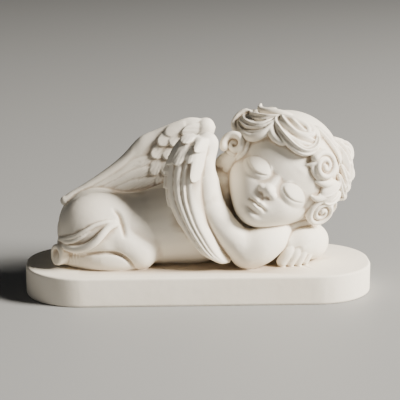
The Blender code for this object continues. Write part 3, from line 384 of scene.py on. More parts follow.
def face_relief(x, z):
    """How far the face stands proud of the skull: sockets, closed lids, nose, lips, cheeks and chin."""
    side = np.abs(x)
    # Cheeks and chin, then brows and sockets.
    out = 3.2 * bump(side, z, 19, -17, 12, 11) + 2.8 * bump(x, z, 0, -35.5, 8, 4.6)
    out += 1.6 * bump(side, z, 13, 11.5, 14, 5.5) - 2.6 * bump(side, z, 15, -1, 11, 8)
    # The lidded eye, the line where the lids meet, and the fold over the upper lid.
    eye = side - 16
    ball = np.clip(1 - (eye / 11.8) ** 2 - ((z + 3.4) / 9.2) ** 2, 0, 1)
    out += 5.2 * ball**1.05
    lash = z + 7.9 - 0.042 * eye**2 - 0.04 * eye
    open_lid = ramp(-np.abs(eye), -10.0, -7.6)
    out += open_lid * 0.8 * ramp(lash, -0.35, 0.35) * np.exp(-np.clip(lash, 0, 99) / 5.0)
    out -= open_lid * 0.9 * np.exp(-(((lash + 0.3) / 0.55) ** 2))
    fold = z - 3.4 + 0.055 * eye**2 + 0.04 * eye
    arch = ramp(-np.abs(eye), -11.2, -8.4)
    out += arch * 0.8 * ramp(fold, -0.5, 0.5) * np.exp(-np.clip(fold, 0, 99) / 3.0)
    out -= arch * 0.5 * np.exp(-(((fold + 0.3) / 0.6) ** 2))
    # The nose: bridge, tip, wings and nostrils, then the groove under it.
    bridge = (0.4 + 2.0 * ramp(-z, -5, 11)) * np.exp(-((x / 4.8) ** 2))
    bridge = bridge * ramp(-z, -8, 0) * ramp(z, -18, -13)
    nose = eased_max(bridge, 5.0 * dome(x, z, 0, -12.9, 6.0, 6.0) ** 2.4, 0.8)
    nose = eased_max(nose, 2.7 * dome(side, z, 4.2, -14.2, 3.6, 3.3) ** 1.7, 0.7)
    out += nose + 1.2 * bump(x, z, 0, -14, 8, 4.5) - 1.3 * bump(side, z, 2.3, -17.4, 1.6, 1.1)
    out -= 0.6 * bump(x, z, 0, -20.6, 1.1, 1.8)
    # The mouth: its mound, the two lips, the line between them, its corners and the hollow under it.
    out += 2.4 * bump(x, z, 0, -25.4, 8.5, 5.4)
    out += 1.9 * bump(side, z, 2.3, -23.5, 2.7, 1.4) + 2.5 * bump(x, z, 0, -27.8, 3.8, 1.9)
    mouth = z + 25.5 + 0.5 * np.exp(-((x / 1.6) ** 2)) + 0.008 * x**2
    mouth = mouth - 0.3 * bump(side, z, 3.6, -25.5, 2.0, 9)
    out -= 1.6 * np.exp(-((mouth / 0.85) ** 2)) * ramp(-side, -6.8, -4.8)
    out -= 1.1 * bump(side, z, 6.8, -25.8, 1.4, 1.4) + 1.4 * bump(x, z, 0, -31.2, 6.0, 1.7)
    return out


def head(rings=340, sides=460):
    """Skull lofted from chin to crown, with the face raised on its front."""
    rows = smooth_through(HEAD_SECTIONS, rings)
    angle = np.linspace(0, 2 * math.pi, sides, endpoint=False)
    x = rows[:, 1:2] * np.cos(angle)
    y = rows[:, 2:3] + rows[:, 3:4] * np.sin(angle)
    y = np.where(y > 0, y * CAP_BACK / (CAP_RADII[1] + 2), y)
    z = np.tile(rows[:, :1], (1, sides))
    front = np.clip((-np.sin(angle) - 0.1) / 0.35, 0, 1)
    y = y - face_relief(x, z) * front * front * (3 - 2 * front)
    return add_mesh("head", *tube_mesh(place_head(np.stack([x, y, z], -1))))


def on_cap(longitude, latitude, lift):
    """Point over the hair cap and the way out of it.

    Longitude 0 is the brow and 90 the +X side of the head; lift is the height over the cap in modules.
    """
    lon, lat = np.radians(longitude), np.radians(latitude)
    way = np.stack([np.sin(lon) * np.cos(lat), -np.cos(lon) * np.cos(lat), np.sin(lat)], -1)
    radii = np.tile(CAP_RADII, way.shape[:-1] + (1,))
    radii[..., 1] = np.where(way[..., 1] > 0, CAP_BACK, CAP_RADII[1])
    out = unit(way / radii)
    return CAP_CENTRE + way * radii + out * np.asarray(lift)[..., None], out


def lock(name, points, half, flat=0.9, strands=0, rings=100):
    """Lock of hair over the cap from longitude, latitude and lift; it swells, then thins to its tip."""
    rows = smooth_through(points, rings)
    path, out = on_cap(rows[:, 0], rows[:, 1], rows[:, 2])
    share = np.linspace(0, 1, rings)
    size = np.maximum(half * (0.45 + 0.75 * np.sin(math.pi * share**0.8) ** 0.7 - 0.25 * share), 1.0)
    body = np.hstack([place_head(path), size[:, None], size[:, None] * flat])
    ups = out @ head_matrix()[:3, :3].T
    return loft(name, body, ups=ups, rings=rings, sides=64 if strands else 18, caps=5, strands=strands)


def pad(name, centre, out, radius, thickness):
    """Round cushion of hair under a curl, given in the head's own directions."""
    east = unit(np.cross(np.array([0.0, 0.0, 1.0]), out))
    north = np.cross(out, east)
    lon, lat = np.meshgrid(np.linspace(0, 2 * math.pi, 48, endpoint=False), np.linspace(-1.5, 1.5, 24))
    ring = (centre + east * (radius * np.cos(lat) * np.cos(lon))[..., None]
            + north * (radius * np.cos(lat) * np.sin(lon))[..., None]
            + out * (thickness * np.sin(lat))[..., None])
    return add_mesh(name, *tube_mesh(place_head(ring)))


def rosette(name, longitude, latitude, radius, lift, turns, start, hand, thick, rise, front):
    """Curl wound like a snail on a cushion of hair, thinning as it winds in, its middle raised or sunk."""
    centre, out = on_cap(np.array(longitude), np.array(latitude), np.array(lift))
    out = unit(out * (1 - front) + np.array([0.0, -1.0, 0.0]) * front)
    east = unit(np.cross(np.array([0.0, 0.0, 1.0]), out))
    north = np.cross(out, east)
    share = np.linspace(0, 1, 40)
    angle = math.radians(start) + hand * 2 * math.pi * turns * share
    reach = (radius - thick) * (1 - share) ** 0.85 + 0.4
    path = centre + (east * np.cos(angle)[:, None] + north * np.sin(angle)[:, None]) * reach[:, None]
    path = path + out * (rise * share**1.3)[:, None]
    size = thick * (1 - 0.45 * share)
    body = np.hstack([place_head(path), size[:, None], size[:, None] * 1.3])
    ups = np.tile(out @ head_matrix()[:3, :3].T, (len(body), 1))
    curl = loft(name, body, ups=ups, rings=160, sides=18, caps=5)
    return [curl, pad(name + "_pad", centre + out * (min(rise, 0) - 1.5), out, radius - 0.6 * thick, 2.6)]


ROSETTES = [  # longitude, latitude, radius, lift, turns, start, hand, thick, rise and turn to the front
    # Round the face, then the sides and the back.
    (-58, -12.5, 10.5, 6.4, 1.35, 230, -1, 3.0, -2.8, 0.6),
    (31, 20.5, 12.5, 1.8, 1.9, 175, -1, 2.7, 1.5, 0.0),
    (70, -13, 13, 2.2, 2.1, 150, 1, 2.6, 1.5, 0.35),
    (-90, -37, 6.5, 3.5, 1.2, 120, 1, 2.0, 1.0, 0.6),
    (-118, 12, 11, 1.5, 1.7, 60, 1, 2.6, 1.5, 0.0),
    (112, 14, 11, 1.5, 1.7, 120, -1, 2.6, 1.5, 0.0),
    (-122, -24, 11, 1.5, 1.7, 0, 1, 2.6, 1.5, 0.0),
    (140, -14, 11, 1.5, 1.7, 90, -1, 2.6, 1.5, 0.0),
    (178, -26, 11, 1.5, 1.7, 45, 1, 2.6, 1.5, 0.0),
    (-152, -8, 11, 1.5, 1.7, 10, -1, 2.6, 1.5, 0.0),
    (168, 8, 11, 1.5, 1.7, 80, 1, 2.6, 1.5, 0.0),
    (108, -22, 10, 1.5, 1.6, 80, 1, 2.4, 1.5, 0.0),
    (-150, 26, 10, 1.0, 1.6, 80, -1, 2.4, 1.5, 0.0),
    (140, 28, 10, 1.0, 1.6, 80, 1, 2.4, 1.5, 0.0),
]
LOCKS = [  # longitude, latitude and lift of the points, then half width, flatness and strands
    # The tuft over the -X temple, and its tips.
    ([(-44, 32, 0.4), (-42, 22, 0.8), (-46, 12, 1.2), (-58, 6, 1.6), (-74, 7, 3), (-86, 10, 5),
      (-89, 15, 6.5)], 7.0, 0.52, 4),
    ([(-46, 34, 1), (-39, 21, 2.4), (-39, 10, 2.8), (-46, 1, 2.8), (-59, -1, 3), (-76, -1, 4),
      (-88, 3, 7), (-90, 10, 9.2), (-89, 17, 9), (-87, 20.5, 6.5)], 2.7, 1.2, 0),
    ([(-42, 29, 1.4), (-45, 17, 3), (-56, 11, 3.6), (-72, 10, 4.6), (-86, 13, 6.2), (-88, 17, 5.8)],
     2.0, 1.1, 0),
    ([(-46, 50, -1.5), (-57, 41, -0.4), (-68, 34, 0.8), (-79, 30, 2.4), (-86, 29, 5), (-88, 31, 8)],
     3.3, 1.0, 0),
    ([(-46, 36, 0.6), (-56, 25, 1.4), (-70, 20, 2.6), (-84, 19.5, 4), (-89, 23, 6)], 3.2, 0.9, 2),
    # The wave over the brow.
    ([(-45, 36, 0), (-34, 31, 0.8), (-22, 28, 1.2), (-10, 28, 1.4), (2, 32, 1.2), (8, 37, 0.4)],
     9.0, 0.5, 3),
    ([(-48, 36, 1), (-38, 36.5, 2.6), (-28, 39, 3.2), (-18, 41, 3.2), (-9, 40.5, 3.4), (-4, 36, 3.8),
      (-4, 31, 3.8), (-10, 27.5, 3)], 2.5, 1.1, 0),
    ([(-44, 32, 1.4), (-31, 27.5, 3.2), (-18, 27, 3.8), (-7, 30, 4.2), (0, 37, 3.8), (-3, 43, 3.2),
      (-11, 45, 2.4)], 2.4, 1.1, 0),
    ([(-43, 28, 1.2), (-28, 21.5, 2.8), (-15, 18, 3.2), (-3, 17, 3.2), (6, 20, 3.2), (11, 29, 3),
      (9, 39, 2.8), (2, 45, 2)], 3.4, 1.0, 2),
    ([(-43, 26, 1.2), (-37, 18, 1.8), (-30, 13.5, 2), (-20, 12.5, 2), (-12, 16, 1.8)], 2.8, 1.1, 0),
    # The crown's low strands and the +X side, from the brow to the ear.
    ([(0, 56, 0.2), (18, 54, 0.5), (34, 50, 0.9), (50, 44, 1.3), (60, 36, 1.6)], 4.0, 0.5, 3),
    ([(-14, 40, 0.6), (-4, 42, 1.2), (4, 41, 1.4), (11, 36, 0.8)], 5.5, 0.6, 2),
    ([(32, 30, 1.4), (25, 22, 1.8), (20, 16, 1.4), (15, 11.5, 0.2)], 2.6, 0.9, 0),
    ([(54, 14, 1.2), (46, 9.5, 1.6), (39, 6.5, 1.2), (33, 4.5, 0.2)], 2.6, 0.9, 0),
    ([(44, 56, 0), (64, 50, 0.6), (76, 40, 1.8), (82, 28, 2.8), (84, 16, 2.6), (82, 4, 1.6)],
     6.0, 0.8, 3),
    ([(50, 14, 0), (57, 7, 0.4), (64, 1, 0.6), (70, -4, 0.2)], 9.0, 0.4, 0),
    ([(40, 58, 0.3), (58, 58.5, 1.2), (73, 57, 3.8), (80, 52, 6.2), (81, 45, 6.2), (79, 40, 3.6)],
     3.4, 0.9, 2),
    ([(58, 46, 1), (72, 40, 3.2), (81, 36, 5.2), (85, 30, 7.6), (84, 24.5, 6.4)], 2.9, 0.9, 2),
    ([(64, 35, 1.5), (75, 28, 3.4), (83, 23.5, 5.2), (85.5, 18, 6.6), (84, 12.5, 4.6)], 2.7, 0.9, 2),
    ([(60, 25, 1.5), (72, 18.5, 3), (82, 14.5, 4.8), (86, 10.5, 7), (85, 6, 4.6)], 2.5, 0.9, 2),
    ([(76, 13, 2.4), (72, 4, 2.8), (65, -3, 2.4), (56, -6, 1.4)], 2.9, 0.9, 2),
    ([(66, 20, 1.4), (61, 10, 2), (55, 2, 2), (47, -3, 1.4)], 2.8, 0.9, 2),
    ([(59, 3, 1.0), (52, -3, 1.8), (46, -8, 1.6), (41, -9, 0.4)], 2.4, 0.9, 0),
    ([(84, 4, 1.6), (92, -2, 3), (92, -12, 3.5), (84, -24, 2.4)], 3.4, 0.9, 2),
    # Under the curl at the -X temple.
    ([(-56, -20, -1), (-68, -28, 1.4), (-82, -32, 3.6), (-92, -36, 5), (-94, -43, 3), (-90, -50, 0)],
     5.6, 0.8, 0),
    ([(-60, -20, -1), (-66, -30, 0.4), (-76, -39, 1.2), (-88, -47, 1.6), (-97, -54, 0)], 4.6, 0.8, 0),
    ([(-58, 4, 0), (-53, -6, 0.4), (-51, -16, 0.4), (-58, -28, 0.6)], 3.8, 0.7, 2),
    # Between the curls at the sides and the back.
    ([(-100, 44, 0.4), (-106, 34, 1.6), (-98, 24, 3), (-104, 14, 3)], 4.2, 0.75, 3),
    ([(-128, 54, 0.2), (-134, 42, 1), (-126, 32, 1.8), (-132, 20, 2)], 4.2, 0.75, 3),
    ([(112, 52, 0.2), (106, 40, 1.4), (112, 30, 2.2), (104, 22, 2.4)], 4.2, 0.75, 3),
    ([(160, 54, 0.2), (166, 42, 1), (158, 30, 1.8), (164, 20, 2)], 4.2, 0.75, 3),
    ([(188, 48, 0.2), (184, 34, 1), (192, 22, 1.8), (186, 12, 2), (196, 4, 1.6)], 4.2, 0.75, 3),
    ([(-134, 8, 1), (-138, -4, 1.8), (-132, -12, 2), (-140, -26, 1.6)], 3.8, 0.75, 3),
    ([(124, 6, 1), (128, -4, 1.8), (122, -12, 2), (126, -28, 1.6)], 3.8, 0.75, 3),
    ([(160, -6, 1), (164, -16, 1.8), (158, -26, 2), (160, -38, 1.4)], 3.8, 0.75, 3),
    ([(-164, -14, 1), (-168, -24, 1.8), (-160, -34, 2), (-164, -44, 1.4)], 3.8, 0.75, 3),
]


def hair():
    """Smooth cap with locks laid forward from the crown and a ring of snail curls."""
    lon, lat = np.meshgrid(np.linspace(0, 360, 144, endpoint=False), np.linspace(-89, 89, 110))
    forms = [add_mesh("cap", *tube_mesh(place_head(on_cap(lon, lat, 0 * lat)[0])))]
    for number, sizes in enumerate(ROSETTES):
        forms += rosette(f"rosette_{number}", *sizes)
    for number, (points, half, flat, strands) in enumerate(LOCKS):
        forms.append(lock(f"lock_{number}", points, half, flat, strands))
    return forms


# Hands and feet. Each finger is its knuckle, joint and tip, then a half width.
FINGERS = [([(69, -14, 18.5), (64, -20.5, 11.5), (59, -21, 4)], 4.0),
           ([(73.5, -14, 17.5), (69.5, -20.2, 10.5), (65, -20.5, 3.2)], 3.4),
           ([(77.5, -13, 16.5), (74.5, -19.0, 9.8), (70.8, -19.6, 3.0)], 3.1),
           ([(81, -11.5, 15.5), (79, -16.2, 9), (76.2, -17.2, 3.2)], 2.7)]
# Foot from ankle to sole: x, y, z, half width, half height.
FOOT = [(-91, -14, 7.6, 6.3, 6.6), (-95, -15, 9.0, 5.8, 6.7), (-98.5, -17.2, 10.2, 6.2, 7.3),
        (-101.5, -19.8, 11.0, 6.6, 7.7)]


def hands():
    """The far hand hangs over its forearm with four fingers; the near one is tucked under the cheek."""
    forms = [loft("near_hand", [(38, -9, 23, 9, 8.2), (50, -8, 25, 8.5, 7), (61, -8, 27, 8, 7),
                                (70, -3, 28, 8.5, 7), (80, 3, 27, 7.5, 6.5)]),
             loft("far_hand", [(81, -7, 16, 9.5, 10.5), (74, -11.5, 16.5, 9.5, 10),
                               (65.5, -14, 15.5, 8, 8.5)])]
    for number, (joints, half) in enumerate(FINGERS):
        stations = [(x, y, z, half, half * (1 - 0.12 * k)) for k, (x, y, z) in enumerate(joints)]
        forms.append(loft(f"finger_{number}", stations, up=(0, -1, 0.3), rings=30, sides=24, caps=6))
    return forms


def feet():
    """Short feet with rimmed, slightly hollow soles turned back and outwards."""
    forms = []
    for side, shift, flip in (("near", 0.0, 1.0), ("far", 8.0, -1.0)):
        foot = [(x + shift, y * flip, z, wide, high) for x, y, z, wide, high in FOOT]
        forms.append(loft(side + "_foot", foot, caps=6, blunt=0.12))
        end, before = np.array(foot[-1]), np.array(foot[-2])
        way = unit(end[:3] - before[:3])
        across = unit(np.cross(way, (0.0, 0.0, 1.0)))
        angle = np.linspace(0, 2 * math.pi, 25)[:, None]
        rim = end[:3] - way * 0.3 + across * np.cos(angle) * (end[3] - 1.9)
        rim = rim + np.array((0.0, 0.0, 1.0)) * np.sin(angle) * (end[4] - 1.9)
        stations = np.hstack([rim, np.full((25, 2), 2.1)])
        forms.append(loft(side + "_sole_rim", stations, up=way, rings=48, sides=10))
    return forms


# Drapery over the near hip: x, z, lift off the skin, half width and half height of each roll.
DRAPE_TOP = [(-101, 19.5), (-97, 21.8), (-89, 26), (-81, 31), (-74, 34.8), (-66, 36.8), (-60, 36.6)]
DRAPE_HEM = [(-101, 18), (-96.6, 17), (-92, 16.6), (-86.2, 17.2), (-79.9, 19.4), (-74.1, 23.4),
             (-69.5, 28.4), (-64.8, 33), (-60, 35)]
HEM_ROLL = [(-100, 19.0, 0.5, 2.0, 1.8), (-96, 17.6, 1.6, 2.4, 2.4), (-91.5, 16.8, 2.2, 2.6, 2.7),
            (-86.2, 17.2, 2.6, 2.8, 2.9), (-79.9, 19.6, 2.7, 2.9, 3.0), (-74.1, 23.6, 2.6, 2.9, 2.9),
            (-69.5, 28.4, 2.2, 2.7, 2.6), (-64.8, 32.8, 1.2, 2.4, 2.0), (-60.0, 34.6, 0.4, 1.8, 1.5),
            (-56, 35.0, -0.8, 1.2, 1.0)]
FOLD_ROLL = [(-99.5, 22.0, 0.6, 1.6, 1.6), (-95, 21.6, 1.4, 1.6, 1.7), (-90, 22.6, 1.4, 1.4, 1.6),
             (-84, 26.0, 1.0, 1.2, 1.3), (-78, 30.2, 0.4, 1.0, 1.0)]
TOP_ROLL = [(-100, 21.5, 0.4, 1.4, 1.4), (-96.5, 23.0, 1.0, 1.5, 1.4), (-89, 26.2, 1.2, 1.5, 1.4),
            (-81, 31.0, 1.1, 1.5, 1.4), (-74, 34.8, 0.9, 1.4, 1.3), (-66, 36.8, 0.5, 1.3, 1.2),
            (-60, 36.6, 0.0, 1.2, 1.1)]


def skin_depth(skin, x, z):
    """Where the body's near face lies along Y at this x and z."""
    start = Vector((x * MODULE, -80 * MODULE, z * MODULE))
    hit = skin.ray_cast(start, Vector((0, 1, 0)))[0]
    if hit is None or hit.y > 0:
        hit = skin.find_nearest(start + Vector((0, 60 * MODULE, 0)))[0]
    return hit.y / MODULE


def drapery(bodies):
    """Thin cloth laid over the near hip from the foot to the thigh, with a rolled hem and two folds."""
    skin = touch_tree(bodies)
    top, hem = smooth_through(DRAPE_TOP, 60), smooth_through(DRAPE_HEM, 60)
    t = np.linspace(0, 1, 24)
    flat = top[:, None] + (hem - top)[:, None] * t[:, None]
    depth = np.array([[skin_depth(skin, x, z) for x, z in row] for row in flat])
    thick = 1.1 * np.sqrt(np.sin(math.pi * np.clip(t, 0.02, 0.98)))
    outer = np.stack([flat[..., 0], depth - thick, flat[..., 1]], -1)
    inner = np.stack([flat[..., 0], depth + 2.0, flat[..., 1]], -1)
    forms = [add_mesh("drape_web", *tube_mesh(np.concatenate([outer, inner[:, ::-1]], axis=1)))]
    for name, roll in (("hem_roll", HEM_ROLL), ("fold_roll", FOLD_ROLL), ("top_roll", TOP_ROLL)):
        rows = [(x, skin_depth(skin, x, z) - lift, z, wide, deep) for x, z, lift, wide, deep in roll]
        forms.append(loft(name, rows, up=(0, -1, 0.2), rings=120, sides=20, caps=5))
    return forms


# Chased creases on the near side: the points in x and z, how wide and how deep, in modules.
CREASES = [([(-60.5, 44.5), (-57, 40.5), (-55, 35), (-53.9, 30.5), (-53.2, 26.5)], 1.6, 2.4),
           ([(-79, 13.2), (-71, 14.6), (-61.5, 14.4), (-55, 12.2), (-50.4, 8.4), (-47.5, 4.0)], 1.3, 1.9),
           ([(-90.8, 13.2), (-91.4, 9.5), (-91, 4.5)], 0.7, 0.6),
           ([(-88.7, 12.5), (-89.2, 9), (-88.8, 4)], 0.7, 0.6),
           ([(-86.6, 12), (-87, 8.5), (-86.7, 3.5)], 0.7, 0.5)]


def groove_depth(points, path, width, depth):
    """How deep a chased line cuts at each point: depth times a bell of the distance to the path."""
    spread = 3 * width
    near = np.all((points > path.min(0) - spread) & (points < path.max(0) + spread), axis=1)
    spot = points[near]
    gaps = np.linalg.norm(spot[:, None] - path[None], axis=2)
    closest = gaps.argmin(1)
    taper = np.sin(np.pi * np.linspace(0.04, 0.96, len(path))) ** 0.6
    cut = np.zeros(len(points))
    cut[near] = depth * taper[closest] * np.exp(-((gaps.min(1) / width) ** 2))
    return cut


def chased(skin, creases):
    """Presses each crease into the skin along the skin's own normals."""
    near = touch_tree([skin])
    points, normals = mesh_points(skin.data)
    points = points / MODULE
    for line, width, depth in creases:
        flat = smooth_through(line, 40)
        path = np.array([(x, skin_depth(near, x, z), z) for x, z in flat])
        points = points - normals * groove_depth(points, path, width, depth)[:, None]
    set_points(skin.data, points * MODULE)


def wings():
    """The near wing's blade, the far wing's blade and the far wing's rounded tip."""
    return [
        blade("near_blade", NEAR_LEAD, NEAR_TRAIL, (-0.45, -0.88, 0.1), 5.2, 2.2, 4.5, NEAR_COVERTS,
              4.2, 2.3, teeth=2.4),
        blade("far_blade", FAR_LEAD, FAR_TRAIL, (0, -1, 0.15), 3.6, 2.4, 1.0, FAR_COVERTS,
              6.0, 0.8, both=True),
        ball("far_tip", (-96.3, 9.8, 43.6), (3.9, 3.2, 3.7)),
    ]


def joined(forms, name):
    """One mesh object from several, the forms removed."""
    work = bmesh.new()
    for form in forms:
        work.from_mesh(form.data)
        bpy.data.objects.remove(form, do_unlink=True)
    return finished(name, work)


def baked(obj):
    """The object with its modifiers applied."""
    graph = bpy.context.evaluated_depsgraph_get()
    graph.update()
    mesh = bpy.data.meshes.new_from_object(obj.evaluated_get(graph))
    obj.modifiers.clear()
    obj.data = mesh
    return obj


def fused(obj, voxel, passes):
    """One skin over all that overlaps, with its hollows filled by smoothing."""
    remesh = obj.modifiers.new("skin", "REMESH")
    remesh.mode = "VOXEL"
    remesh.voxel_size = voxel
    smooth = obj.modifiers.new("ease", "SMOOTH")
    smooth.factor = 0.5
    smooth.iterations = passes
    return baked(obj)


def largest_part(obj):
    """Drops what floats free of the main skin, such as a sealed hollow between forms."""
    work = bmesh.new()
    work.from_mesh(obj.data)
    left, parts = set(work.verts), []
    while left:
        seed = left.pop()
        found, front = {seed}, [seed]
        while front:
            for edge in front.pop().link_edges:
                for vertex in edge.verts:
                    if vertex in left:
                        left.discard(vertex)
                        found.add(vertex)
                        front.append(vertex)
        parts.append(found)
    keep = max(parts, key=len)
    bmesh.ops.delete(work, geom=[v for v in work.verts if v not in keep], context="VERTS")
    work.to_mesh(obj.data)
    work.free()


def plinth_block(low, high, height):
    """Round-ended block: a box whose upright corners are arcs in plan and whose rims are eased."""
    depth = high.y - low.y
    corner = PLINTH_CORNER_SHARE * depth / 2
    work = bmesh.new()
    size = Matrix.Diagonal((high.x - low.x, depth, height, 1.0))
    bmesh.ops.create_cube(work, size=1.0, matrix=Matrix.Translation((0, 0, height / 2)) @ size)
    upright = [e for e in work.edges if abs(e.verts[0].co.z - e.verts[1].co.z) > height / 2]
    bmesh.ops.bevel(work, geom=upright, offset=corner, segments=40, profile=0.5, affect="EDGES")
    rims = [e for e in work.edges if abs(e.verts[0].co.z - e.verts[1].co.z) < 1e-6]
    bmesh.ops.bevel(work, geom=rims, offset=PLINTH_EDGE_ROUND, segments=4, profile=0.5, affect="EDGES")
    return finished("plinth_block", work)


def mesh_points(mesh):
    """The mesh's vertices and their normals as two arrays."""
    count = len(mesh.vertices)
    points, normals = np.zeros(count * 3, np.float32), np.zeros(count * 3, np.float32)
    mesh.vertices.foreach_get("co", points)
    mesh.vertex_normals.foreach_get("vector", normals)
    return points.reshape(-1, 3).astype(float), normals.reshape(-1, 3).astype(float)


def set_points(mesh, points):
    """Moves the mesh's vertices to these points."""
    mesh.vertices.foreach_set("co", points.astype(np.float32).ravel())
    mesh.update()


def neighbour_mean(mesh, values, passes):
    """The values averaged over each vertex's neighbours, again and again."""
    edges = np.zeros(len(mesh.edges) * 2, np.int32)
    mesh.edges.foreach_get("vertices", edges)
    a, b = edges.reshape(-1, 2).T
    count = np.bincount(a, minlength=len(values)) + np.bincount(b, minlength=len(values))
    for _ in range(passes):
        columns = [np.bincount(a, values[b, k], len(values)) + np.bincount(b, values[a, k], len(values))
                   for k in range(values.shape[1])]
        values = 0.5 * values + 0.5 * np.stack(columns, 1) / np.maximum(count, 1)[:, None]
    return values


def painted_shade_share(mesh):
    """How far each vertex lies in a hollow, the mask of the plaster's painted shade: the offset of its
    smoothed surroundings along the normal.
    """
    points, normals = mesh_points(mesh)
    fine = ((neighbour_mean(mesh, points, 8) - points) * normals).sum(1)
    broad = ((neighbour_mean(mesh, points, 50) - points) * normals).sum(1)
    share = 0.5 * np.clip(fine / NEAR_SHADE_HOLLOW, -1, 1) + 0.5 * np.clip(broad / WIDE_SHADE_HOLLOW, -1, 1)
    return neighbour_mean(mesh, share[:, None], 2)[:, 0]


def figure_skin(voxel, triangles):
    """The whole casting as one skin.

    The soft groups are fused first, then joined with the crisp forms and the plinth and fused again.
    """
    groups = []
    for number, forms in enumerate(soft_forms()):
        clay = fused(joined(forms, f"clay_{number}"), SOFT_VOXEL, SOFT_PASSES)
        rounder = clay.modifiers.new("rounder", "SUBSURF")
        rounder.levels = rounder.render_levels = 1
        groups.append(baked(clay))
    cloth = drapery(groups[:2])
    crisp = cloth + wings() + [head()] + hair() + hands() + feet()
    skin = joined(groups + crisp, "sleeping_angel_cast")
    block = plinth_block(CAD_LOW, CAD_HIGH, PLINTH_HEIGHT)
    block.data.transform(Matrix.Translation((0, 0, SINK - PLINTH_HEIGHT)))
    skin = fused(joined([skin, block], "sleeping_angel_cast"), voxel, CAST_PASSES)
    largest_part(skin)
    chased(skin, CREASES)
    skin.data.transform(Matrix.Translation((0, 0, PLINTH_HEIGHT - SINK)))
    thin = skin.modifiers.new("thinned", "DECIMATE")
    thin.ratio = triangles / (2 * len(skin.data.polygons))
    baked(skin)
    return skin


def node_at(tree, kind, place, **settings):
    """Shader node of that kind at that place, its properties set by name."""
    node = tree.nodes.new(kind)
    node.location = place
    for name, value in settings.items():
        setattr(node, name, value)
    return node


def noise_at(tree, where, place, scale, detail):
    """Noise over the object's own coordinates; scale is its repeats to a metre."""
    noise = node_at(tree, "ShaderNodeTexNoise", place)
    noise.inputs["Scale"].default_value = scale
    noise.inputs["Detail"].default_value = detail
    tree.links.new(where.outputs["Object"], noise.inputs["Vector"])
    return noise.outputs["Fac"]


def range_at(tree, value, place, **ends):
    """The value stretched from one range to another."""
    node = node_at(tree, "ShaderNodeMapRange", place)
    for end, number in ends.items():
        node.inputs[end.replace("_", " ").title()].default_value = number
    tree.links.new(value, node.inputs["Value"])
    return node.outputs["Result"]


def relief_at(tree, height, place, strength, depth):
    """Fine relief from a height, that deep in metres."""
    node = node_at(tree, "ShaderNodeBump", place)
    node.inputs["Strength"].default_value = strength
    node.inputs["Distance"].default_value = depth
    tree.links.new(height, node.inputs["Height"])
    return node


def plaster_material(finish):
    """Cast plaster: warm white, clouded, with a fine grain, and painted shade that browns its hollows."""
    material = bpy.data.materials.new("angel_plaster")
    material.use_nodes = True
    tree = material.node_tree
    shader = tree.nodes["Principled BSDF"]
    shader.inputs["Specular IOR Level"].default_value = 0.3
    where = node_at(tree, "ShaderNodeTexCoord", (-1400, 0))
    clouds = noise_at(tree, where, (-1100, 200), CLOUD_SCALE, 3.0)
    grain = noise_at(tree, where, (-1100, -150), GRAIN_SCALE, 3.0)
    ripple = noise_at(tree, where, (-1100, -350), RIPPLE_SCALE, 2.0)
    # The hollow mask, read from the points: how much painted shade each point takes.
    hollow = node_at(tree, "ShaderNodeAttribute", (-1100, 450), attribute_name="hollow")
    body = node_at(tree, "ShaderNodeMix", (-600, 200), data_type="RGBA")
    body.inputs["A"].default_value = finish.colour[:]
    body.inputs["B"].default_value = finish.cloud_colour[:]
    cloudy = range_at(tree, clouds, (-850, 200), from_min=0.35, from_max=0.7)
    tree.links.new(cloudy, body.inputs["Factor"])
    # Painted shade: the plaster is mixed towards dark brown in its hollows.
    shade_mix = node_at(tree, "ShaderNodeMix", (-350, 300), data_type="RGBA")
    shade_mix.inputs["B"].default_value = finish.painted_shade_colour[:]
    deep = range_at(tree, hollow.outputs["Fac"], (-850, 450), from_min=0.02, from_max=0.9,
                    to_max=finish.painted_shade_strength)
    tree.links.new(deep, shade_mix.inputs["Factor"])
    tree.links.new(body.outputs["Result"], shade_mix.inputs["A"])
    tree.links.new(shade_mix.outputs["Result"], shader.inputs["Base Color"])
    rough = range_at(tree, clouds, (-600, -50), to_min=finish.roughness - 0.1,
                     to_max=finish.roughness + 0.08)
    tree.links.new(rough, shader.inputs["Roughness"])
    wavy = relief_at(tree, ripple, (-350, -350), 0.35, RIPPLE_DEPTH)
    fine = relief_at(tree, grain, (-350, -150), 0.25, finish.grain_depth)
    tree.links.new(wavy.outputs["Normal"], fine.inputs["Normal"])
    tree.links.new(fine.outputs["Normal"], shader.inputs["Normal"])
    return material


class AngelCastSettings(bpy.types.PropertyGroup):
    """Sizes of the casting's surface."""

    grid: bpy.props.FloatProperty(
        name="Grid", description="Spacing of the carved surface before it is thinned",
        default=0.0005, min=0.0004, max=0.003, precision=4, unit="LENGTH")
    triangles: bpy.props.IntProperty(
        name="Triangles", description="Triangles that the carved surface is thinned to",
        default=195000, min=20000, max=199000)


class AngelPlasterSettings(bpy.types.PropertyGroup):
    """Colours and finish of the plaster."""

    colour: bpy.props.FloatVectorProperty(
        name="Plaster", description="Colour of the open surfaces", size=4, subtype="COLOR",
        default=(0.87, 0.81, 0.70, 1.0), min=0, max=1)
    cloud_colour: bpy.props.FloatVectorProperty(
        name="Clouds", description="Colour that the plaster drifts to in soft clouds", size=4,
        subtype="COLOR", default=(0.82, 0.75, 0.63, 1.0), min=0, max=1)
    # Painted shade: the dark brown laid into creases and deep carving, and how strongly it is laid.
    painted_shade_colour: bpy.props.FloatVectorProperty(
        name="Hollows", description="Colour in creases and deep carving", size=4, subtype="COLOR",
        default=(0.36, 0.26, 0.17, 1.0), min=0, max=1)
    painted_shade_strength: bpy.props.FloatProperty(
        name="Hollow tint", description="How far creases take the hollow colour", default=0.75,
        min=0, max=1, subtype="FACTOR")
    roughness: bpy.props.FloatProperty(
        name="Roughness", description="Middle roughness of the plaster", default=0.72, min=0.3, max=0.9,
        subtype="FACTOR")
    grain_depth: bpy.props.FloatProperty(
        name="Grain", description="Depth of the plaster's grain", default=0.0001, min=0, max=0.001,
        precision=5, unit="LENGTH")


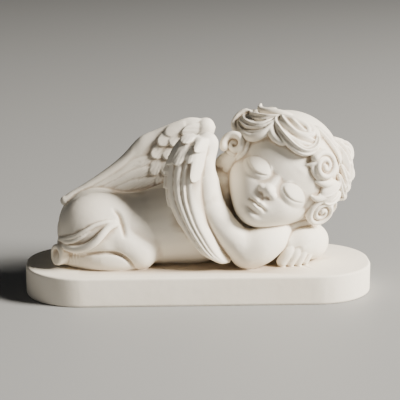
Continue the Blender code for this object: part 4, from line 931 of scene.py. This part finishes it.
class AngelStageSettings(bpy.types.PropertyGroup):
    """Floor, lights and camera."""

    floor_colour: bpy.props.FloatVectorProperty(
        name="Floor", description="Colour of the plain floor", size=4, subtype="COLOR",
        default=(0.28, 0.28, 0.275, 1.0), min=0, max=1)
    floor_half: bpy.props.FloatProperty(
        name="Floor reach", description="Half the floor's width", default=6.0, min=1, max=20, unit="LENGTH")
    key_power: bpy.props.FloatProperty(
        name="Key light", description="Power of the main light, upper right", default=430.0, min=0,
        unit="POWER")
    fill_power: bpy.props.FloatProperty(
        name="Fill light", description="Power of the broad light from the left", default=3.0, min=0,
        unit="POWER")
    surround: bpy.props.FloatProperty(
        name="Surround", description="Strength of the even light from all round", default=0.04,
        min=0, max=2)
    azimuth: bpy.props.FloatProperty(
        name="Azimuth", description="The camera's turn round the figure; 0 looks along +Y",
        default=math.radians(-2.5), subtype="ANGLE")
    elevation: bpy.props.FloatProperty(
        name="Elevation", description="The camera's height above the horizon", default=math.radians(13.0),
        subtype="ANGLE")
    distance: bpy.props.FloatProperty(
        name="Distance", description="From the camera to the middle of the view", default=1.1,
        unit="LENGTH")
    span: bpy.props.FloatProperty(
        name="View width", description="Width seen at that distance", default=0.2895, unit="LENGTH")


class ANGEL_OT_cast(bpy.types.Operator):
    """Builds the carved casting, figure and plinth in one, and gives it its plaster"""

    bl_idname = "angel.cast"
    bl_label = "Casting"

    def execute(self, context):
        sizes, finish = context.scene.angel_cast, context.scene.angel_plaster
        cast = figure_skin(sizes.grid, sizes.triangles)
        points, _ = mesh_points(cast.data)
        points[:, 2] = np.where(points[:, 2] < UNDERSIDE_SNAP, 0.0, points[:, 2])
        set_points(cast.data, np.clip(points, CAD_LOW, CAD_HIGH))
        # The mask of the painted shade in the hollows, stored on each point for the plaster.
        shade = cast.data.attributes.new("hollow", "FLOAT", "POINT")
        shade.data.foreach_set("value", painted_shade_share(cast.data).astype(np.float32))
        cast.data.shade_smooth()
        cast.data.materials.clear()
        cast.data.materials.append(plaster_material(finish))
        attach(cast, "root")
        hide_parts("sleeping_angel")
        return {"FINISHED"}


def area_light(name, place, aim, power, size, colour):
    """Square studio light at a place, turned to a point."""
    lamp = bpy.data.lights.new(name, "AREA")
    lamp.energy = power
    lamp.size = size
    lamp.color = colour
    obj = bpy.data.objects.new(name, lamp)
    obj.location = place
    obj.rotation_euler = (Vector(aim) - Vector(place)).to_track_quat("-Z", "Y").to_euler()
    bpy.context.scene.collection.objects.link(obj)


class ANGEL_OT_stage(bpy.types.Operator):
    """Lays the plain floor and sets the studio lights and the camera"""

    bl_idname = "angel.stage"
    bl_label = "Stage"

    def execute(self, context):
        stage = context.scene.angel_stage
        half = stage.floor_half
        corners = [(-half, -half, 0), (half, -half, 0), (half, half, 0), (-half, half, 0)]
        mesh = bpy.data.meshes.new("studio_floor")
        mesh.from_pydata(corners, [], [(0, 1, 2, 3)])
        floor = shown("studio_floor", mesh)
        paint = bpy.data.materials.new("studio_floor_paint")
        paint.use_nodes = True
        shader = paint.node_tree.nodes["Principled BSDF"]
        shader.inputs["Base Color"].default_value = stage.floor_colour[:]
        shader.inputs["Roughness"].default_value = 0.6
        mesh.materials.append(paint)
        area_light("key_light", KEY_PLACE, LIGHT_AIM, stage.key_power, KEY_SIZE, KEY_COLOUR)
        area_light("fill_light", FILL_PLACE, LIGHT_AIM, stage.fill_power, FILL_SIZE, FILL_COLOUR)
        sky = bpy.data.worlds.new("studio_surround")
        sky.use_nodes = True
        glow = sky.node_tree.nodes["Background"]
        glow.inputs["Color"].default_value = SURROUND_COLOUR
        glow.inputs["Strength"].default_value = stage.surround
        context.scene.world = sky
        side, rise = stage.azimuth, stage.elevation
        level = Vector((math.sin(side), -math.cos(side), 0.0))
        back = level * math.cos(rise) + Vector((0.0, 0.0, math.sin(rise)))
        lens = bpy.data.cameras.new("view_camera")
        lens.sensor_width = SENSOR_WIDTH
        lens.lens = SENSOR_WIDTH * stage.distance / stage.span
        camera = bpy.data.objects.new("view_camera", lens)
        camera.location = Vector(VIEW_MIDDLE) + back * stage.distance
        camera.rotation_euler = (-back).to_track_quat("-Z", "Y").to_euler()
        context.scene.collection.objects.link(camera)
        context.scene.camera = camera
        return {"FINISHED"}


class ANGEL_PT_panel(bpy.types.Panel):
    """Lists the casting and its stage"""

    bl_idname = "ANGEL_PT_panel"
    bl_label = "Sleeping angel"
    bl_space_type = "VIEW_3D"
    bl_region_type = "UI"
    bl_category = "Angel"

    def draw(self, context):
        groups = (("angel_cast", "angel.cast"), ("angel_plaster", None), ("angel_stage", "angel.stage"))
        for group, operator in groups:
            box = self.layout.box()
            settings = getattr(context.scene, group)
            for name in settings.__annotations__:
                box.prop(settings, name)
            if operator:
                box.operator(operator)


CLASSES = (AngelCastSettings, AngelPlasterSettings, AngelStageSettings, ANGEL_OT_cast, ANGEL_OT_stage,
           ANGEL_PT_panel)


def register():
    """Makes the settings, operators and panel known, with the settings kept on the scene."""
    for kind in CLASSES:
        bpy.utils.register_class(kind)
    bpy.types.Scene.angel_cast = bpy.props.PointerProperty(type=AngelCastSettings)
    bpy.types.Scene.angel_plaster = bpy.props.PointerProperty(type=AngelPlasterSettings)
    bpy.types.Scene.angel_stage = bpy.props.PointerProperty(type=AngelStageSettings)


def unregister():
    """Takes the settings, operators and panel out again."""
    del bpy.types.Scene.angel_cast
    del bpy.types.Scene.angel_plaster
    del bpy.types.Scene.angel_stage
    for kind in reversed(CLASSES):
        bpy.utils.unregister_class(kind)


def main():
    register()
    bpy.ops.angel.cast()
    bpy.ops.angel.stage()


if __name__ == "__main__":
    main()
